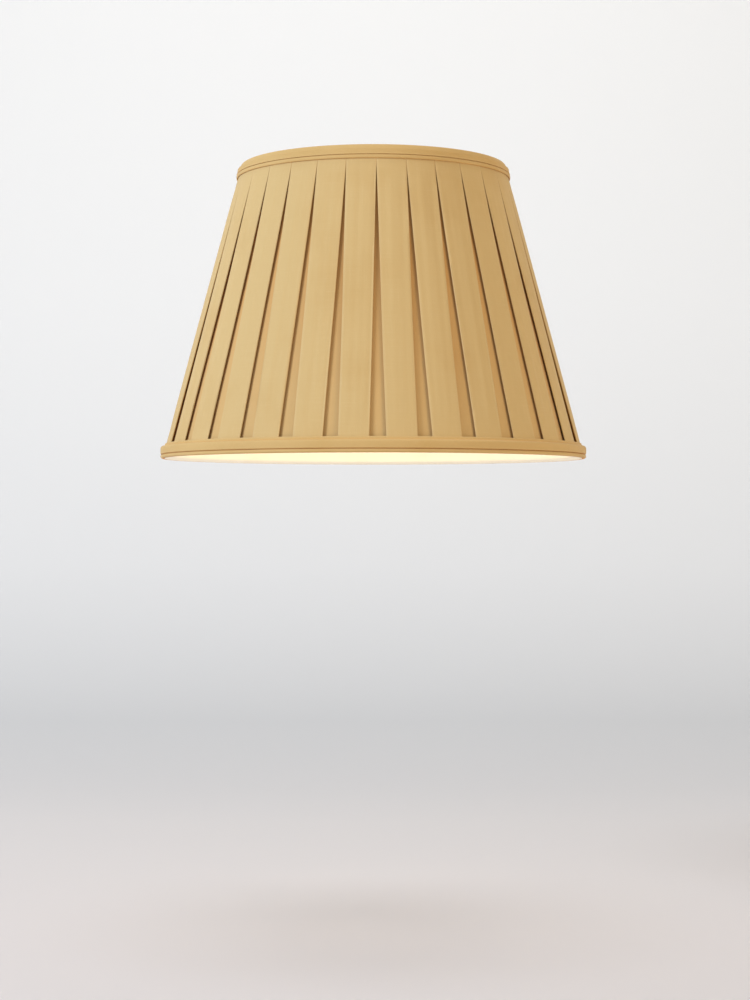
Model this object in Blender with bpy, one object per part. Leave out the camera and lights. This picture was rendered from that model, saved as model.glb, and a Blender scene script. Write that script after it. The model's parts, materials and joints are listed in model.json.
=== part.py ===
"""Box-pleated empire lamp shade on a wire frame, with a tilting gimbal fitting.

Metres, +Z up. The origin is the centre of the bottom rim, where the shade stands.
Azimuths are measured from the front, -Y, towards +X.
"""

import math

import bmesh
import bpy
from mathutils import Matrix, Vector

# Overall sizes, over the trims.
HEIGHT = 0.248
BOTTOM_RADIUS = 0.180
TOP_RADIUS = 0.1161

# Clearance between pieces that touch on the real shade.
GAP = 0.0003
LAYER_GAP = 0.0004

# Pleated cover: flat box pleats with a recess between neighbours.
PLEAT_COUNT = 30
BAY_COUNT = 6
FRAME_TURN = math.radians(1.25)
PLEAT_RISE = 0.0018
COVER_BACKING = 0.0012
PLEAT_TOP_GAP = 0.0004
BAY_SEAM_GAP = 0.0004

# Trims: a bias-cut band and a corded piping on each rim.
BOTTOM_PIPING_HEIGHT = 0.0032
BOTTOM_BAND_FACE = 0.0049
BOTTOM_BAND_COVE = 0.0049
BOTTOM_BAND_FLARE = 0.0053
TOP_BAND_HEIGHT = 0.0085
TOP_BAND_LEAN = 0.0028
TOP_PIPING_HEIGHT = 0.0029
TOP_PIPING_STAND = 0.0011
BAND_EDGE = 0.0005
BAND_FOLD = 0.0011
BAND_TURN_IN = 0.0056

# Frame wires and the cotton tape bound round both rings.
RING_WIRE = 0.0035
STRUT_WIRE = 0.0030
ARM_WIRE = 0.0030
TAPE_GAP = 0.00045
TAPE_THICKNESS = 0.0006

# Lining, hung inside the frame.
LINING_THICKNESS = 0.0010
LINING_FOOT_HEIGHT = 0.0009
LINING_SEAM_GAP = 0.0004
ARM_NOTCH_DEPTH = 0.0085
ARM_NOTCH_SIDE = 0.0008

# Spider: three drop arms from the top ring to the gimbal's outer ring.
ARM_COUNT = 3
GIMBAL_DROP = 0.040
ARM_WELD_ANGLE = math.radians(225)
ARM_BEND_SHARE = 0.7
TAB_LENGTH = 0.008
TAB_THICKNESS = 0.0006
TAB_SETBACK = 0.0068

# Gimbal: outer ring, tilting inner ring and the lampholder adaptor in it.
FITTING_BORE_RADIUS = 0.0208
ADAPTOR_BORE_RADIUS = 0.0145
GIMBAL_FLANGE_RADIUS = 0.0275
GIMBAL_PLATE = 0.0020
GIMBAL_RIM_WALL = 0.0015
GIMBAL_BELOW_PIVOT = 0.0045
GIMBAL_ABOVE_PIVOT = 0.0035
TILT_CLEARANCE = 0.0007
YOKE_WALL = 0.0018
YOKE_HEIGHT = 0.0080
RIVET_RADIUS = 0.0015
RIVET_HEAD = 0.0011
RIVET_HEAD_RADIUS = 0.0022
ADAPTOR_FLANGE = 0.0013
ADAPTOR_PROUD = 0.0005
ADAPTOR_INSET = 0.0020

# Facets. Every piece round the cover shares one grid, so its facets lie parallel.
RIM_STEPS = 60
FITTING_STEPS = 36
WIRE_SIDES = 6
TAPE_SPANS = 4

FABRIC = (0.62, 0.41, 0.17)
TRIM = (0.58, 0.37, 0.14)
LINING = (0.90, 0.82, 0.64)
STEEL = (0.72, 0.72, 0.70)
TAPE = (0.86, 0.80, 0.68)
WHITE_PLASTIC = (0.90, 0.89, 0.86)

# Values that follow from the sizes above.
PIVOT_HEIGHT = HEIGHT - GIMBAL_DROP
WALL_FOOT_Z = BOTTOM_PIPING_HEIGHT + GAP + BOTTOM_BAND_FACE + BOTTOM_BAND_COVE
WALL_HEAD_Z = HEIGHT - TOP_BAND_HEIGHT - GAP - TOP_PIPING_HEIGHT
WALL_FOOT_RADIUS = BOTTOM_RADIUS - BOTTOM_BAND_FLARE
WALL_HEAD_RADIUS = TOP_RADIUS - TOP_PIPING_STAND
WALL_LEAN = (WALL_FOOT_RADIUS - WALL_HEAD_RADIUS) / (WALL_HEAD_Z - WALL_FOOT_Z)
WALL_STRETCH = math.hypot(1.0, WALL_LEAN)
COVER_DEPTH = PLEAT_RISE + COVER_BACKING
TAPE_INNER = RING_WIRE / 2 + TAPE_GAP
TAPE_OUTER = TAPE_INNER + TAPE_THICKNESS
RING_INSET = COVER_DEPTH + LAYER_GAP + TAPE_OUTER
LINING_INSET = RING_INSET + TAPE_OUTER + LAYER_GAP
TURN_IN_INSET = LINING_INSET + LINING_THICKNESS + LAYER_GAP
COVER_BOTTOM_Z = BOTTOM_PIPING_HEIGHT + 2 * GAP
COVER_TOP_Z = HEIGHT - BAND_FOLD - GAP
LINING_FOOT_TOP = LINING_FOOT_HEIGHT + LINING_THICKNESS
BOTTOM_RING_Z = LINING_FOOT_TOP + GAP + TAPE_OUTER
TOP_RING_Z = COVER_TOP_Z - TAPE_OUTER
BAY_ANGLE = math.tau / BAY_COUNT
PLEAT_PITCH = math.tau / PLEAT_COUNT


def wall_radius(height, inset=0.0):
    """Radius of the cone that lies `inset` inside the pleats' outer face."""
    return WALL_FOOT_RADIUS - (height - WALL_FOOT_Z) * WALL_LEAN - inset * WALL_STRETCH


PLEAT_WIDTH = PLEAT_PITCH * wall_radius(COVER_TOP_Z) - PLEAT_TOP_GAP
BOTTOM_RING_RADIUS = wall_radius(BOTTOM_RING_Z, RING_INSET)
TOP_RING_RADIUS = wall_radius(TOP_RING_Z, RING_INSET)
YOKE_INNER = math.hypot(GIMBAL_FLANGE_RADIUS, GIMBAL_BELOW_PIVOT) + TILT_CLEARANCE
YOKE_OUTER = YOKE_INNER + YOKE_WALL


def around(azimuth, radius, height):
    """Point at an azimuth, a radius and a height."""
    return Vector((radius * math.sin(azimuth), -radius * math.cos(azimuth), height))


def clear_scene():
    """Remove every object."""
    for item in list(bpy.data.objects):
        bpy.data.objects.remove(item, do_unlink=True)


def finish_material(name, colour, roughness, metallic=0.0):
    """Principled material with one colour."""
    material = bpy.data.materials.new(name)
    material.use_nodes = True
    shader = material.node_tree.nodes["Principled BSDF"]
    shader.inputs["Base Color"].default_value = (*colour, 1.0)
    shader.inputs["Roughness"].default_value = roughness
    shader.inputs["Metallic"].default_value = metallic
    return material


def add_piece(name, mesh_data, finish, parent=None, smooth=True):
    """Make an object from a bmesh or a curve, with its own material."""
    if isinstance(mesh_data, bmesh.types.BMesh):
        mesh = bpy.data.meshes.new(name)
        bmesh.ops.recalc_face_normals(mesh_data, faces=mesh_data.faces)
        mesh_data.to_mesh(mesh)
        mesh_data.free()
        if smooth:
            mesh.shade_smooth()
            mesh.set_sharp_from_angle(angle=math.radians(40))
    else:
        mesh = mesh_data
    mesh.materials.append(finish_material(name, *finish))
    piece = bpy.data.objects.new(name, mesh)
    bpy.context.collection.objects.link(piece)
    piece.parent = parent
    return piece


def turned(outline, steps, start=0.0, sweep=math.tau):
    """Spin a closed outline of (radius, height) points about Z."""
    shape = bmesh.new()
    first = [shape.verts.new(around(start, radius, height)) for radius, height in outline]
    edges = [shape.edges.new((a, b)) for a, b in zip(first, first[1:] + first[:1])]
    whole = math.isclose(sweep, math.tau)
    spun = bmesh.ops.spin(
        shape, geom=first + edges, axis=(0, 0, 1), cent=(0, 0, 0),
        angle=sweep, steps=steps, use_merge=whole,
    )
    if not whole:
        last = [item for item in spun["geom_last"] if isinstance(item, bmesh.types.BMEdge)]
        bmesh.ops.contextual_create(shape, geom=last)
        bmesh.ops.contextual_create(shape, geom=edges)
    bmesh.ops.remove_doubles(shape, verts=shape.verts, dist=1e-6)
    return shape


def circle_outline(radius, height, size, sides=WIRE_SIDES, phase=0.0):
    """Outline of a round wire's section, centred at a radius and a height."""
    angles = [phase + math.tau * k / sides for k in range(sides)]
    return [(radius + size * math.cos(a), height + size * math.sin(a)) for a in angles]


def tape_outline(radius, height, first_angle):
    """C-shaped section of the tape bound over half of a ring."""
    spread = [first_angle + math.pi * k / TAPE_SPANS for k in range(TAPE_SPANS + 1)]
    outer = [(radius + TAPE_OUTER * math.cos(a), height + TAPE_OUTER * math.sin(a)) for a in spread]
    inner = [(radius + TAPE_INNER * math.cos(a), height + TAPE_INNER * math.sin(a)) for a in spread]
    return outer + inner[::-1]


def wire_along(name, points, diameter, resolution=1):
    """Round wire through points, as a bevelled curve with closed ends."""
    curve = bpy.data.curves.new(name, "CURVE")
    curve.dimensions = "3D"
    curve.bevel_depth = diameter / 2
    curve.bevel_resolution = resolution
    curve.use_fill_caps = True
    spline = curve.splines.new("POLY")
    spline.points.add(len(points) - 1)
    for knot, place in zip(spline.points, points):
        knot.co = (*place, 1.0)
    return curve


def build_rings():
    """Top and bottom ring, each with its binding tape."""
    steel = (STEEL, 0.35, 1.0)
    tape = (TAPE, 0.9)
    places = {
        "top": (TOP_RING_RADIUS, TOP_RING_Z, math.radians(-10)),
        "bottom": (BOTTOM_RING_RADIUS, BOTTOM_RING_Z, math.radians(170)),
    }
    for side, (radius, height, tape_start) in places.items():
        ring = turned(circle_outline(radius, height, RING_WIRE / 2), RIM_STEPS, FRAME_TURN)
        add_piece(side + "_ring", ring, steel)
        binding = turned(tape_outline(radius, height, tape_start), RIM_STEPS, FRAME_TURN)
        add_piece(side + "_ring_tape", binding, tape)


def build_struts():
    """Straight struts between the rings, one at each seam of the cover."""
    reach = RING_WIRE / 2 + GAP
    along = Vector((-WALL_LEAN, 1.0)).normalized() * reach
    for index in range(BAY_COUNT):
        azimuth = FRAME_TURN + index * BAY_ANGLE
        foot = around(azimuth, BOTTOM_RING_RADIUS + along.x, BOTTOM_RING_Z + along.y)
        head = around(azimuth, TOP_RING_RADIUS - along.x, TOP_RING_Z - along.y)
        name = f"strut_{index + 1}"
        add_piece(name, wire_along(name, [foot, head], STRUT_WIRE), (STEEL, 0.35, 1.0))


def bay_outline(height):
    """Points of one bay's section at a height, as (angle from the bay's start, radius)."""
    seam = BAY_SEAM_GAP / 2 / wall_radius(height)
    half_panel = PLEAT_WIDTH / 2 / wall_radius(height)
    face = wall_radius(height)
    floor = wall_radius(height, PLEAT_RISE)
    back = wall_radius(height, COVER_DEPTH)
    pleats = PLEAT_COUNT // BAY_COUNT
    section = [(seam, floor)]
    for index in range(pleats):
        middle = (index + 0.5) * PLEAT_PITCH
        section.append((middle - half_panel, floor))
        section += [(middle - half_panel, face), (middle, face), (middle + half_panel, face)]
        section.append((middle + half_panel, floor))
    section += [(BAY_ANGLE - seam, floor), (BAY_ANGLE - seam, back)]
    steps = RIM_STEPS // BAY_COUNT
    section += [(BAY_ANGLE * (steps - k) / steps, back) for k in range(1, steps)]
    section.append((seam, back))
    return section


def build_cover():
    """Pleated cover, one strip of cloth for each bay between struts."""
    for index in range(BAY_COUNT):
        start = FRAME_TURN + index * BAY_ANGLE
        shape = bmesh.new()
        loops = []
        for height in (COVER_BOTTOM_Z, COVER_TOP_Z):
            points = [around(start + angle, radius, height) for angle, radius in bay_outline(height)]
            loop = [shape.verts.new(point) for point in points]
            loops.append([shape.edges.new(pair) for pair in zip(loop, loop[1:] + loop[:1])])
            shape.faces.new(loop)
        bmesh.ops.bridge_loops(shape, edges=loops[0] + loops[1])
        add_piece(f"pleat_panel_{index + 1}", shape, (FABRIC, 0.85), smooth=False)


def build_lining():
    """Lining in two halves, seamed at two opposite struts and notched for the arms."""
    def face(height, inset):
        return wall_radius(height, inset), height

    outer = LINING_INSET
    inner = LINING_INSET + LINING_THICKNESS
    foot_edge = BOTTOM_RADIUS - 2 * BOTTOM_PIPING_HEIGHT / math.sqrt(3) - GAP
    outline = [
        face(COVER_TOP_Z, inner),
        face(LINING_FOOT_HEIGHT, inner),
        (foot_edge, LINING_FOOT_HEIGHT),
        (foot_edge, LINING_FOOT_TOP),
        face(LINING_FOOT_TOP, outer),
        face(COVER_TOP_Z, outer),
    ]
    notches = [arm_notch(index) for index in range(ARM_COUNT)]
    seam = LINING_SEAM_GAP / 2 / wall_radius(HEIGHT, inner)
    first_seam = FRAME_TURN - 2 * BAY_ANGLE
    for name, start in (("lining_front", first_seam), ("lining_back", first_seam + math.pi)):
        half = turned(outline, RIM_STEPS // 2, start + seam, math.pi - 2 * seam)
        piece = add_piece(name, half, (LINING, 0.9))
        for notch in notches:
            cut = piece.modifiers.new(notch.name, "BOOLEAN")
            cut.operation = "DIFFERENCE"
            cut.object = notch


def arm_azimuth(index):
    """Azimuth of a spider arm, midway between two struts."""
    return FRAME_TURN + BAY_ANGLE / 2 + index * math.tau / ARM_COUNT


def arm_notch(index):
    """Cutter for the slit that an arm passes through at the lining's top edge."""
    shape = bmesh.new()
    bmesh.ops.create_cube(shape, size=1.0)
    middle = wall_radius(HEIGHT, LINING_INSET + LINING_THICKNESS / 2)
    size = (ARM_WIRE + 2 * ARM_NOTCH_SIDE, 8 * LINING_THICKNESS, 2 * ARM_NOTCH_DEPTH)
    for vertex in shape.verts:
        vertex.co = Vector(a * b for a, b in zip(vertex.co, size))
    mesh = bpy.data.meshes.new(f"arm_notch_{index + 1}")
    shape.to_mesh(mesh)
    shape.free()
    cutter = bpy.data.objects.new(mesh.name, mesh)
    bpy.context.collection.objects.link(cutter)
    cutter.location = around(arm_azimuth(index), middle, COVER_TOP_Z)
    cutter.rotation_euler.z = arm_azimuth(index)
    cutter.hide_render = True
    cutter.display_type = "WIRE"
    return cutter


def arm_route():
    """Centre line of a drop arm as (radius, height) points, from the top ring inwards."""
    weld = Vector((math.cos(ARM_WELD_ANGLE), math.sin(ARM_WELD_ANGLE)))
    start = Vector((TOP_RING_RADIUS, TOP_RING_Z)) + weld * (RING_WIRE / 2 + GAP)
    end = Vector((YOKE_OUTER + GAP, PIVOT_HEIGHT))
    corner = start + weld * (start.y - end.y) / -weld.y
    bend = (corner.x - end.x) * ARM_BEND_SHARE
    bend_in = corner - weld * bend
    bend_out = Vector((corner.x - bend, end.y))
    bends = 8
    curve = []
    for k in range(bends + 1):
        t = k / bends
        curve.append(bend_in * (1 - t) ** 2 + corner * 2 * t * (1 - t) + bend_out * t * t)
    return [start] + curve + [end]


def build_spider():
    """Three drop arms, each with a cloth tab where it leaves the lining."""
    weld = Vector((math.cos(ARM_WELD_ANGLE), math.sin(ARM_WELD_ANGLE)))
    route = arm_route()
    for index in range(ARM_COUNT):
        azimuth = arm_azimuth(index)
        points = [around(azimuth, point.x, point.y) for point in route]
        name = f"spider_arm_{index + 1}"
        add_piece(name, wire_along(name, points, ARM_WIRE), (STEEL, 0.35, 1.0))
        build_tab(index, azimuth, route[0] + weld * TAB_SETBACK, weld)


def build_tab(index, azimuth, place, direction):
    """Cloth tab folded over an arm like a saddle."""
    inner = ARM_WIRE / 2 + GAP
    outer = inner + TAB_THICKNESS
    spread = [math.pi * k / 6 for k in range(7)]
    rim = [(outer * math.cos(a), outer * math.sin(a)) for a in spread]
    rim += [(inner * math.cos(a), inner * math.sin(a)) for a in reversed(spread)]
    along = around(azimuth, direction.x, direction.y)
    across = around(azimuth + math.pi / 2, 1.0, 0.0)
    over = across.cross(along)
    if over.z < 0:
        over = -over
    origin = around(azimuth, place.x, place.y)
    shape = bmesh.new()
    loop = [shape.verts.new(origin + across * u + over * v) for u, v in rim]
    end = shape.faces.new(loop)
    grown = bmesh.ops.extrude_face_region(shape, geom=[end], use_keep_orig=True)
    moved = [item for item in grown["geom"] if isinstance(item, bmesh.types.BMVert)]
    bmesh.ops.translate(shape, verts=moved, vec=along * TAB_LENGTH)
    add_piece(f"arm_tab_{index + 1}", shape, (LINING, 0.9))


def build_trims():
    """Band and piping round each rim."""
    def behind(height):
        return wall_radius(height) + LAYER_GAP, height

    band = (TRIM, 0.85)
    low = BOTTOM_PIPING_HEIGHT + GAP
    face_top = low + BOTTOM_BAND_FACE
    cove_run = BOTTOM_RADIUS - WALL_FOOT_RADIUS - LAYER_GAP - BAND_EDGE
    cove = [
        (BOTTOM_RADIUS - cove_run * run, face_top + BOTTOM_BAND_COVE * rise)
        for run, rise in ((0.0, 0.0), (0.6, 0.42), (1.0, 1.0))
    ]
    outline = [(BOTTOM_RADIUS - BAND_EDGE, low), (BOTTOM_RADIUS, low + BAND_EDGE)]
    outline += cove + [behind(WALL_FOOT_Z), behind(low)]
    add_piece("bottom_band", turned(outline, RIM_STEPS, FRAME_TURN), band)

    cord = BOTTOM_PIPING_HEIGHT / math.sqrt(3)
    outline = circle_outline(BOTTOM_RADIUS - cord, BOTTOM_PIPING_HEIGHT / 2, cord)
    add_piece("bottom_piping", turned(outline, RIM_STEPS, FRAME_TURN), band)

    low = HEIGHT - TOP_BAND_HEIGHT
    shoulder = TOP_RADIUS - TOP_BAND_LEAN
    under = HEIGHT - BAND_FOLD
    turn_in = HEIGHT - BAND_TURN_IN
    turn_in_back = TURN_IN_INSET + BAND_EDGE
    outline = [
        (TOP_RADIUS, low),
        (shoulder, HEIGHT - BAND_EDGE),
        (shoulder - BAND_EDGE, HEIGHT),
        (wall_radius(HEIGHT, turn_in_back), HEIGHT),
        (wall_radius(turn_in, turn_in_back), turn_in),
        (wall_radius(turn_in, TURN_IN_INSET), turn_in),
        (wall_radius(under, TURN_IN_INSET), under),
        behind(under),
        behind(low),
    ]
    add_piece("top_band", turned(outline, RIM_STEPS, FRAME_TURN), band)

    foot = WALL_HEAD_Z
    head = foot + TOP_PIPING_HEIGHT
    outline = [
        behind(foot),
        (TOP_RADIUS - TOP_PIPING_STAND / 3, foot + TOP_PIPING_HEIGHT / 6),
        (TOP_RADIUS + TOP_PIPING_STAND / 6, foot + TOP_PIPING_HEIGHT / 2),
        (TOP_RADIUS - TOP_PIPING_STAND / 3, head - TOP_PIPING_HEIGHT / 6),
        behind(head),
    ]
    add_piece("top_piping", turned(outline, RIM_STEPS, FRAME_TURN), band)


def pivot_drill():
    """Cutter for the rivet holes, along Y through the pivot."""
    shape = bmesh.new()
    bmesh.ops.create_cone(
        shape, cap_ends=True, segments=16, radius1=RIVET_RADIUS + GAP, radius2=RIVET_RADIUS + GAP,
        depth=3 * YOKE_OUTER, matrix=Matrix.Rotation(math.pi / 2, 4, "X"),
    )
    mesh = bpy.data.meshes.new("pivot_drill")
    shape.to_mesh(mesh)
    shape.free()
    drill = bpy.data.objects.new("pivot_drill", mesh)
    bpy.context.collection.objects.link(drill)
    drill.location.z = PIVOT_HEIGHT
    drill.hide_render = True
    drill.display_type = "WIRE"
    return drill


def build_gimbal():
    """Outer ring, tilting ring, its two rivets and the plastic adaptor."""
    steel = (STEEL, 0.3, 1.0)
    drill = pivot_drill()
    half = YOKE_HEIGHT / 2
    outline = [
        (YOKE_OUTER, PIVOT_HEIGHT + half), (YOKE_INNER, PIVOT_HEIGHT + half),
        (YOKE_INNER, PIVOT_HEIGHT - half), (YOKE_OUTER, PIVOT_HEIGHT - half),
    ]
    yoke = add_piece("gimbal_yoke", turned(outline, FITTING_STEPS), steel)

    pivot = bpy.data.objects.new("gimbal_pivot", None)
    bpy.context.collection.objects.link(pivot)
    pivot.location.z = PIVOT_HEIGHT
    floor = -GIMBAL_BELOW_PIVOT
    plate_top = floor + GIMBAL_PLATE
    rim_inner = GIMBAL_FLANGE_RADIUS - GIMBAL_RIM_WALL
    outline = [
        (FITTING_BORE_RADIUS, floor), (GIMBAL_FLANGE_RADIUS, floor),
        (GIMBAL_FLANGE_RADIUS, GIMBAL_ABOVE_PIVOT), (rim_inner, GIMBAL_ABOVE_PIVOT),
        (rim_inner, plate_top), (FITTING_BORE_RADIUS, plate_top),
    ]
    ring = add_piece("gimbal_ring", turned(outline, FITTING_STEPS), steel, pivot)
    for piece in (yoke, ring):
        cut = piece.modifiers.new("rivet_holes", "BOOLEAN")
        cut.operation = "DIFFERENCE"
        cut.object = drill

    seat = plate_top + GAP
    plug = FITTING_BORE_RADIUS - LAYER_GAP
    flange = rim_inner - ADAPTOR_INSET
    outline = [
        (ADAPTOR_BORE_RADIUS, floor - ADAPTOR_PROUD), (plug, floor - ADAPTOR_PROUD),
        (plug, seat), (flange, seat), (flange, seat + ADAPTOR_FLANGE),
        (ADAPTOR_BORE_RADIUS, seat + ADAPTOR_FLANGE),
    ]
    add_piece("reducer_ring", turned(outline, FITTING_STEPS), (WHITE_PLASTIC, 0.4), pivot)

    head_in = rim_inner - 2 * GAP
    head_out = YOKE_OUTER + GAP
    outline = [
        (0.0, head_in - RIVET_HEAD), (RIVET_HEAD_RADIUS, head_in - RIVET_HEAD),
        (RIVET_HEAD_RADIUS, head_in), (RIVET_RADIUS, head_in),
        (RIVET_RADIUS, head_out), (RIVET_HEAD_RADIUS, head_out),
        (RIVET_HEAD_RADIUS * 0.8, head_out + RIVET_HEAD), (0.0, head_out + RIVET_HEAD),
    ]
    for name, turn in (("pivot_rivet_front", math.pi / 2), ("pivot_rivet_back", -math.pi / 2)):
        rivet = add_piece(name, turned(outline, 12), steel, pivot)
        rivet.rotation_euler.x = turn


def main():
    """Build every piece of the shade."""
    clear_scene()
    build_rings()
    build_struts()
    build_cover()
    build_lining()
    build_spider()
    build_trims()
    build_gimbal()
    bpy.context.view_layer.update()


main()
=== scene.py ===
"""Looks of a box-pleated empire lamp shade: cover, trims, lining, wire frame and tilting fitting.

Lengths are metres. Azimuths run from the front, -Y, towards +X.
"""

import json
import logging
import math
from dataclasses import dataclass
from enum import Enum
from itertools import accumulate
from typing import Any, Optional, Sequence, Union

import bpy
import numpy as np
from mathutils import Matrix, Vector


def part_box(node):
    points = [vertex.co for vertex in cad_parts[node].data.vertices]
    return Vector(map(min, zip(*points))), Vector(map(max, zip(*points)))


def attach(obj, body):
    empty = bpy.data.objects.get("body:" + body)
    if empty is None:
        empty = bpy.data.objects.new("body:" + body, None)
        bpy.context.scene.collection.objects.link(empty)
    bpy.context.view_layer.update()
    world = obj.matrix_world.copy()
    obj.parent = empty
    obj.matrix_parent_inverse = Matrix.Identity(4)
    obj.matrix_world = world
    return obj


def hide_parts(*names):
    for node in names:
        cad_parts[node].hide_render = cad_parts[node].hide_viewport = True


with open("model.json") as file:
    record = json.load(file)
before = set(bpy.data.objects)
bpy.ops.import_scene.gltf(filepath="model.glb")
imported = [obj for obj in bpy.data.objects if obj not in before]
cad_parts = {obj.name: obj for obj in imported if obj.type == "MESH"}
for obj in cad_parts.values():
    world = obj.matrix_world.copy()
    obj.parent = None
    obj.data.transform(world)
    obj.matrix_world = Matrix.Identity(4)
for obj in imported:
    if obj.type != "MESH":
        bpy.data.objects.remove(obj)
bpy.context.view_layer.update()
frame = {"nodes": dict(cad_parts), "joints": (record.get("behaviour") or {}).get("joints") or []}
CLOTH_MAP = "cloth"
# Each point's press value: above 0 a pressed fold made paler, partly painted highlight; below 0 painted
# shade.
PRESS_AND_SHADING = "press_and_shading"
MM = 0.001
LOG = logging.getLogger("lamp_shade")
Colour = tuple[float, float, float]
Scale = tuple[float, float, float]
Outline = list[tuple[float, float]]
Profile = list[tuple[float, float, float]]


class Held(Enum):
    """How a piece of cloth is held."""

    FOLDED = "folded"
    STRETCHED = "stretched"


class Body(Enum):
    """The two bodies that pieces ride on."""

    SHADE = "shade"
    GIMBAL = "gimbal"


class Rim(Enum):
    """The two rims of the shade."""

    TOP = "top"
    BOTTOM = "bottom"


class Axis(Enum):
    """Lines that a piece can be turned about."""

    Y = (0.0, 1.0, 0.0)
    Z = (0.0, 0.0, 1.0)


class Slot(Enum):
    """Finishes that the record names."""

    PLEATS = "pleated_cotton"
    TRIM = "bias_trim"
    LINING = "lining_cotton"
    TAPE = "binding_tape"
    WIRE = "frame_steel"
    PLATED = "plated_steel"
    PLASTIC = "white_plastic"


# ------------------------------------------------------------------ shader graph


class Wire:
    """An output of a shader graph, with arithmetic that adds Math nodes."""

    def __init__(self, graph: "Graph", socket: bpy.types.NodeSocket) -> None:
        """Wrap an output socket of a graph."""
        self.graph = graph
        self.socket = socket

    def _math(self, operation: str, *values: Any) -> "Wire":
        """Add a Math node that works on the values in order."""
        return self.graph.node("ShaderNodeMath", {"operation": operation}, dict(enumerate(values)))

    def __add__(self, other: Any) -> "Wire":
        """Sum."""
        return self._math("ADD", self, other)

    def __radd__(self, other: Any) -> "Wire":
        """Sum, reflected."""
        return self._math("ADD", other, self)

    def __sub__(self, other: Any) -> "Wire":
        """Difference."""
        return self._math("SUBTRACT", self, other)

    def __rsub__(self, other: Any) -> "Wire":
        """Difference, reflected."""
        return self._math("SUBTRACT", other, self)

    def __mul__(self, other: Any) -> "Wire":
        """Product."""
        return self._math("MULTIPLY", self, other)

    def sine(self) -> "Wire":
        """Sine of the value in radians."""
        return self._math("SINE", self)

    def between(self, low: float, high: float) -> "Wire":
        """Smooth step from 0 at `low` to 1 at `high`."""
        settings = {"interpolation_type": "SMOOTHSTEP"}
        return self.graph.node("ShaderNodeMapRange", settings, {0: self, 1: low, 2: high})


class Graph:
    """The node tree of one material."""

    def __init__(self, name: str) -> None:
        """Start an empty material with a name."""
        self.material = bpy.data.materials.new(name)
        self.material.use_nodes = True
        self.tree = self.material.node_tree
        self.tree.nodes.clear()

    def node(self, kind: str, settings: dict[str, Any], sockets: dict[Any, Any], output: Any = 0) -> Wire:
        """Add a node.

        Args:
            kind: the node's type.
            settings: attributes that are set before the sockets.
            sockets: a value or a link for each input, by name or by place.
            output: name or place of the wanted output.

        Returns:
            The wanted output.
        """
        made = self.tree.nodes.new(kind)
        for name, value in settings.items():
            setattr(made, name, value)
        for name, value in sockets.items():
            if isinstance(value, Wire):
                self.tree.links.new(value.socket, made.inputs[name])
            else:
                made.inputs[name].default_value = value
        return Wire(self, made.outputs[output])

    def mixed(self, share: Any, first: Any, second: Any, blend: str = "MIX") -> Wire:
        """Mix two colours.

        Args:
            share: part of the second colour, 0 to 1.
            first: first colour, or a link.
            second: second colour, or a link.
            blend: the way in which they mix.

        Returns:
            The mixed colour.
        """
        pair = [value if isinstance(value, Wire) else (*value, 1.0) for value in (first, second)]
        settings = {"data_type": "RGBA", "blend_type": blend}
        return self.node("ShaderNodeMix", settings, {0: share, 6: pair[0], 7: pair[1]}, 2)

    def ramp(self, share: Wire, stops: Sequence[tuple[float, Colour]]) -> Wire:
        """Colour that runs through stops, each a place from 0 to 1 and a colour."""
        made = self.node("ShaderNodeValToRGB", {}, {0: share})
        elements = made.socket.node.color_ramp.elements
        while len(elements) < len(stops):
            elements.new(1.0)
        for element, (place, colour) in zip(elements, stops):
            element.position = place
            element.color = (*colour, 1.0)
        return made

    def place(self) -> Wire:
        """Place in the object's own coordinates."""
        return self.node("ShaderNodeTexCoord", {}, {}, "Object")

    def cloth_place(self) -> Wire:
        """Place on the flat cloth, in metres."""
        return self.node("ShaderNodeUVMap", {"uv_map": CLOTH_MAP}, {}, "UV")

    def press_and_shading(self) -> Wire:
        """Pressed folds made paler, partly painted highlight, above 0 up to 1; painted shade below 0, down
        to -1.
        """
        return self.node("ShaderNodeAttribute", {"attribute_name": PRESS_AND_SHADING}, {}, "Fac")

    def mapped(self, where: Wire, scale: tuple[float, float, float], turn: float = 0.0) -> Wire:
        """Turn coordinates about Z and scale them."""
        sockets = {"Vector": where, "Scale": scale, "Rotation": (0.0, 0.0, turn)}
        return self.node("ShaderNodeMapping", {}, sockets)

    def along(self, where: Wire) -> tuple[Wire, Wire]:
        """Split coordinates into their first two parts."""
        split = self.node("ShaderNodeSeparateXYZ", {}, {"Vector": where})
        return split, Wire(self, split.socket.node.outputs["Y"])

    def noise(self, where: Wire, scale: float = 1.0, detail: float = 2.0) -> Wire:
        """Noise of about 0.2 to 0.8 with a mean of 0.5."""
        sockets = {"Vector": where, "Scale": scale, "Detail": detail, "Roughness": 0.5}
        return self.node("ShaderNodeTexNoise", {}, sockets, "Fac")

    def bump(self, height: Wire, strength: float = 1.0) -> Wire:
        """Normal of a surface raised by a height in metres."""
        sockets = {"Strength": strength, "Distance": 1.0, "Height": height}
        return self.node("ShaderNodeBump", {}, sockets, "Normal")

    def surface(self, colour: Any, rough: Any, normal: Optional[Wire], **fixed: Any) -> bpy.types.Material:
        """End the graph in a Principled shader.

        Args:
            colour: base colour, or a link.
            rough: roughness, or a link.
            normal: the normal's link, if any.
            fixed: constants of other sockets, by their names with underscores.

        Returns:
            The finished material.
        """
        base = colour if isinstance(colour, Wire) else (*colour, 1.0)
        sockets: dict[Any, Any] = {"Base Color": base, "Roughness": rough}
        if normal is not None:
            sockets["Normal"] = normal
        for name, value in fixed.items():
            sockets[name.replace("_", " ")] = value
        shader = self.node("ShaderNodeBsdfPrincipled", {}, sockets)
        end = self.tree.nodes.new("ShaderNodeOutputMaterial")
        self.tree.links.new(shader.socket, end.inputs["Surface"])
        return self.material


# ------------------------------------------------------------------ finishes


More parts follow.
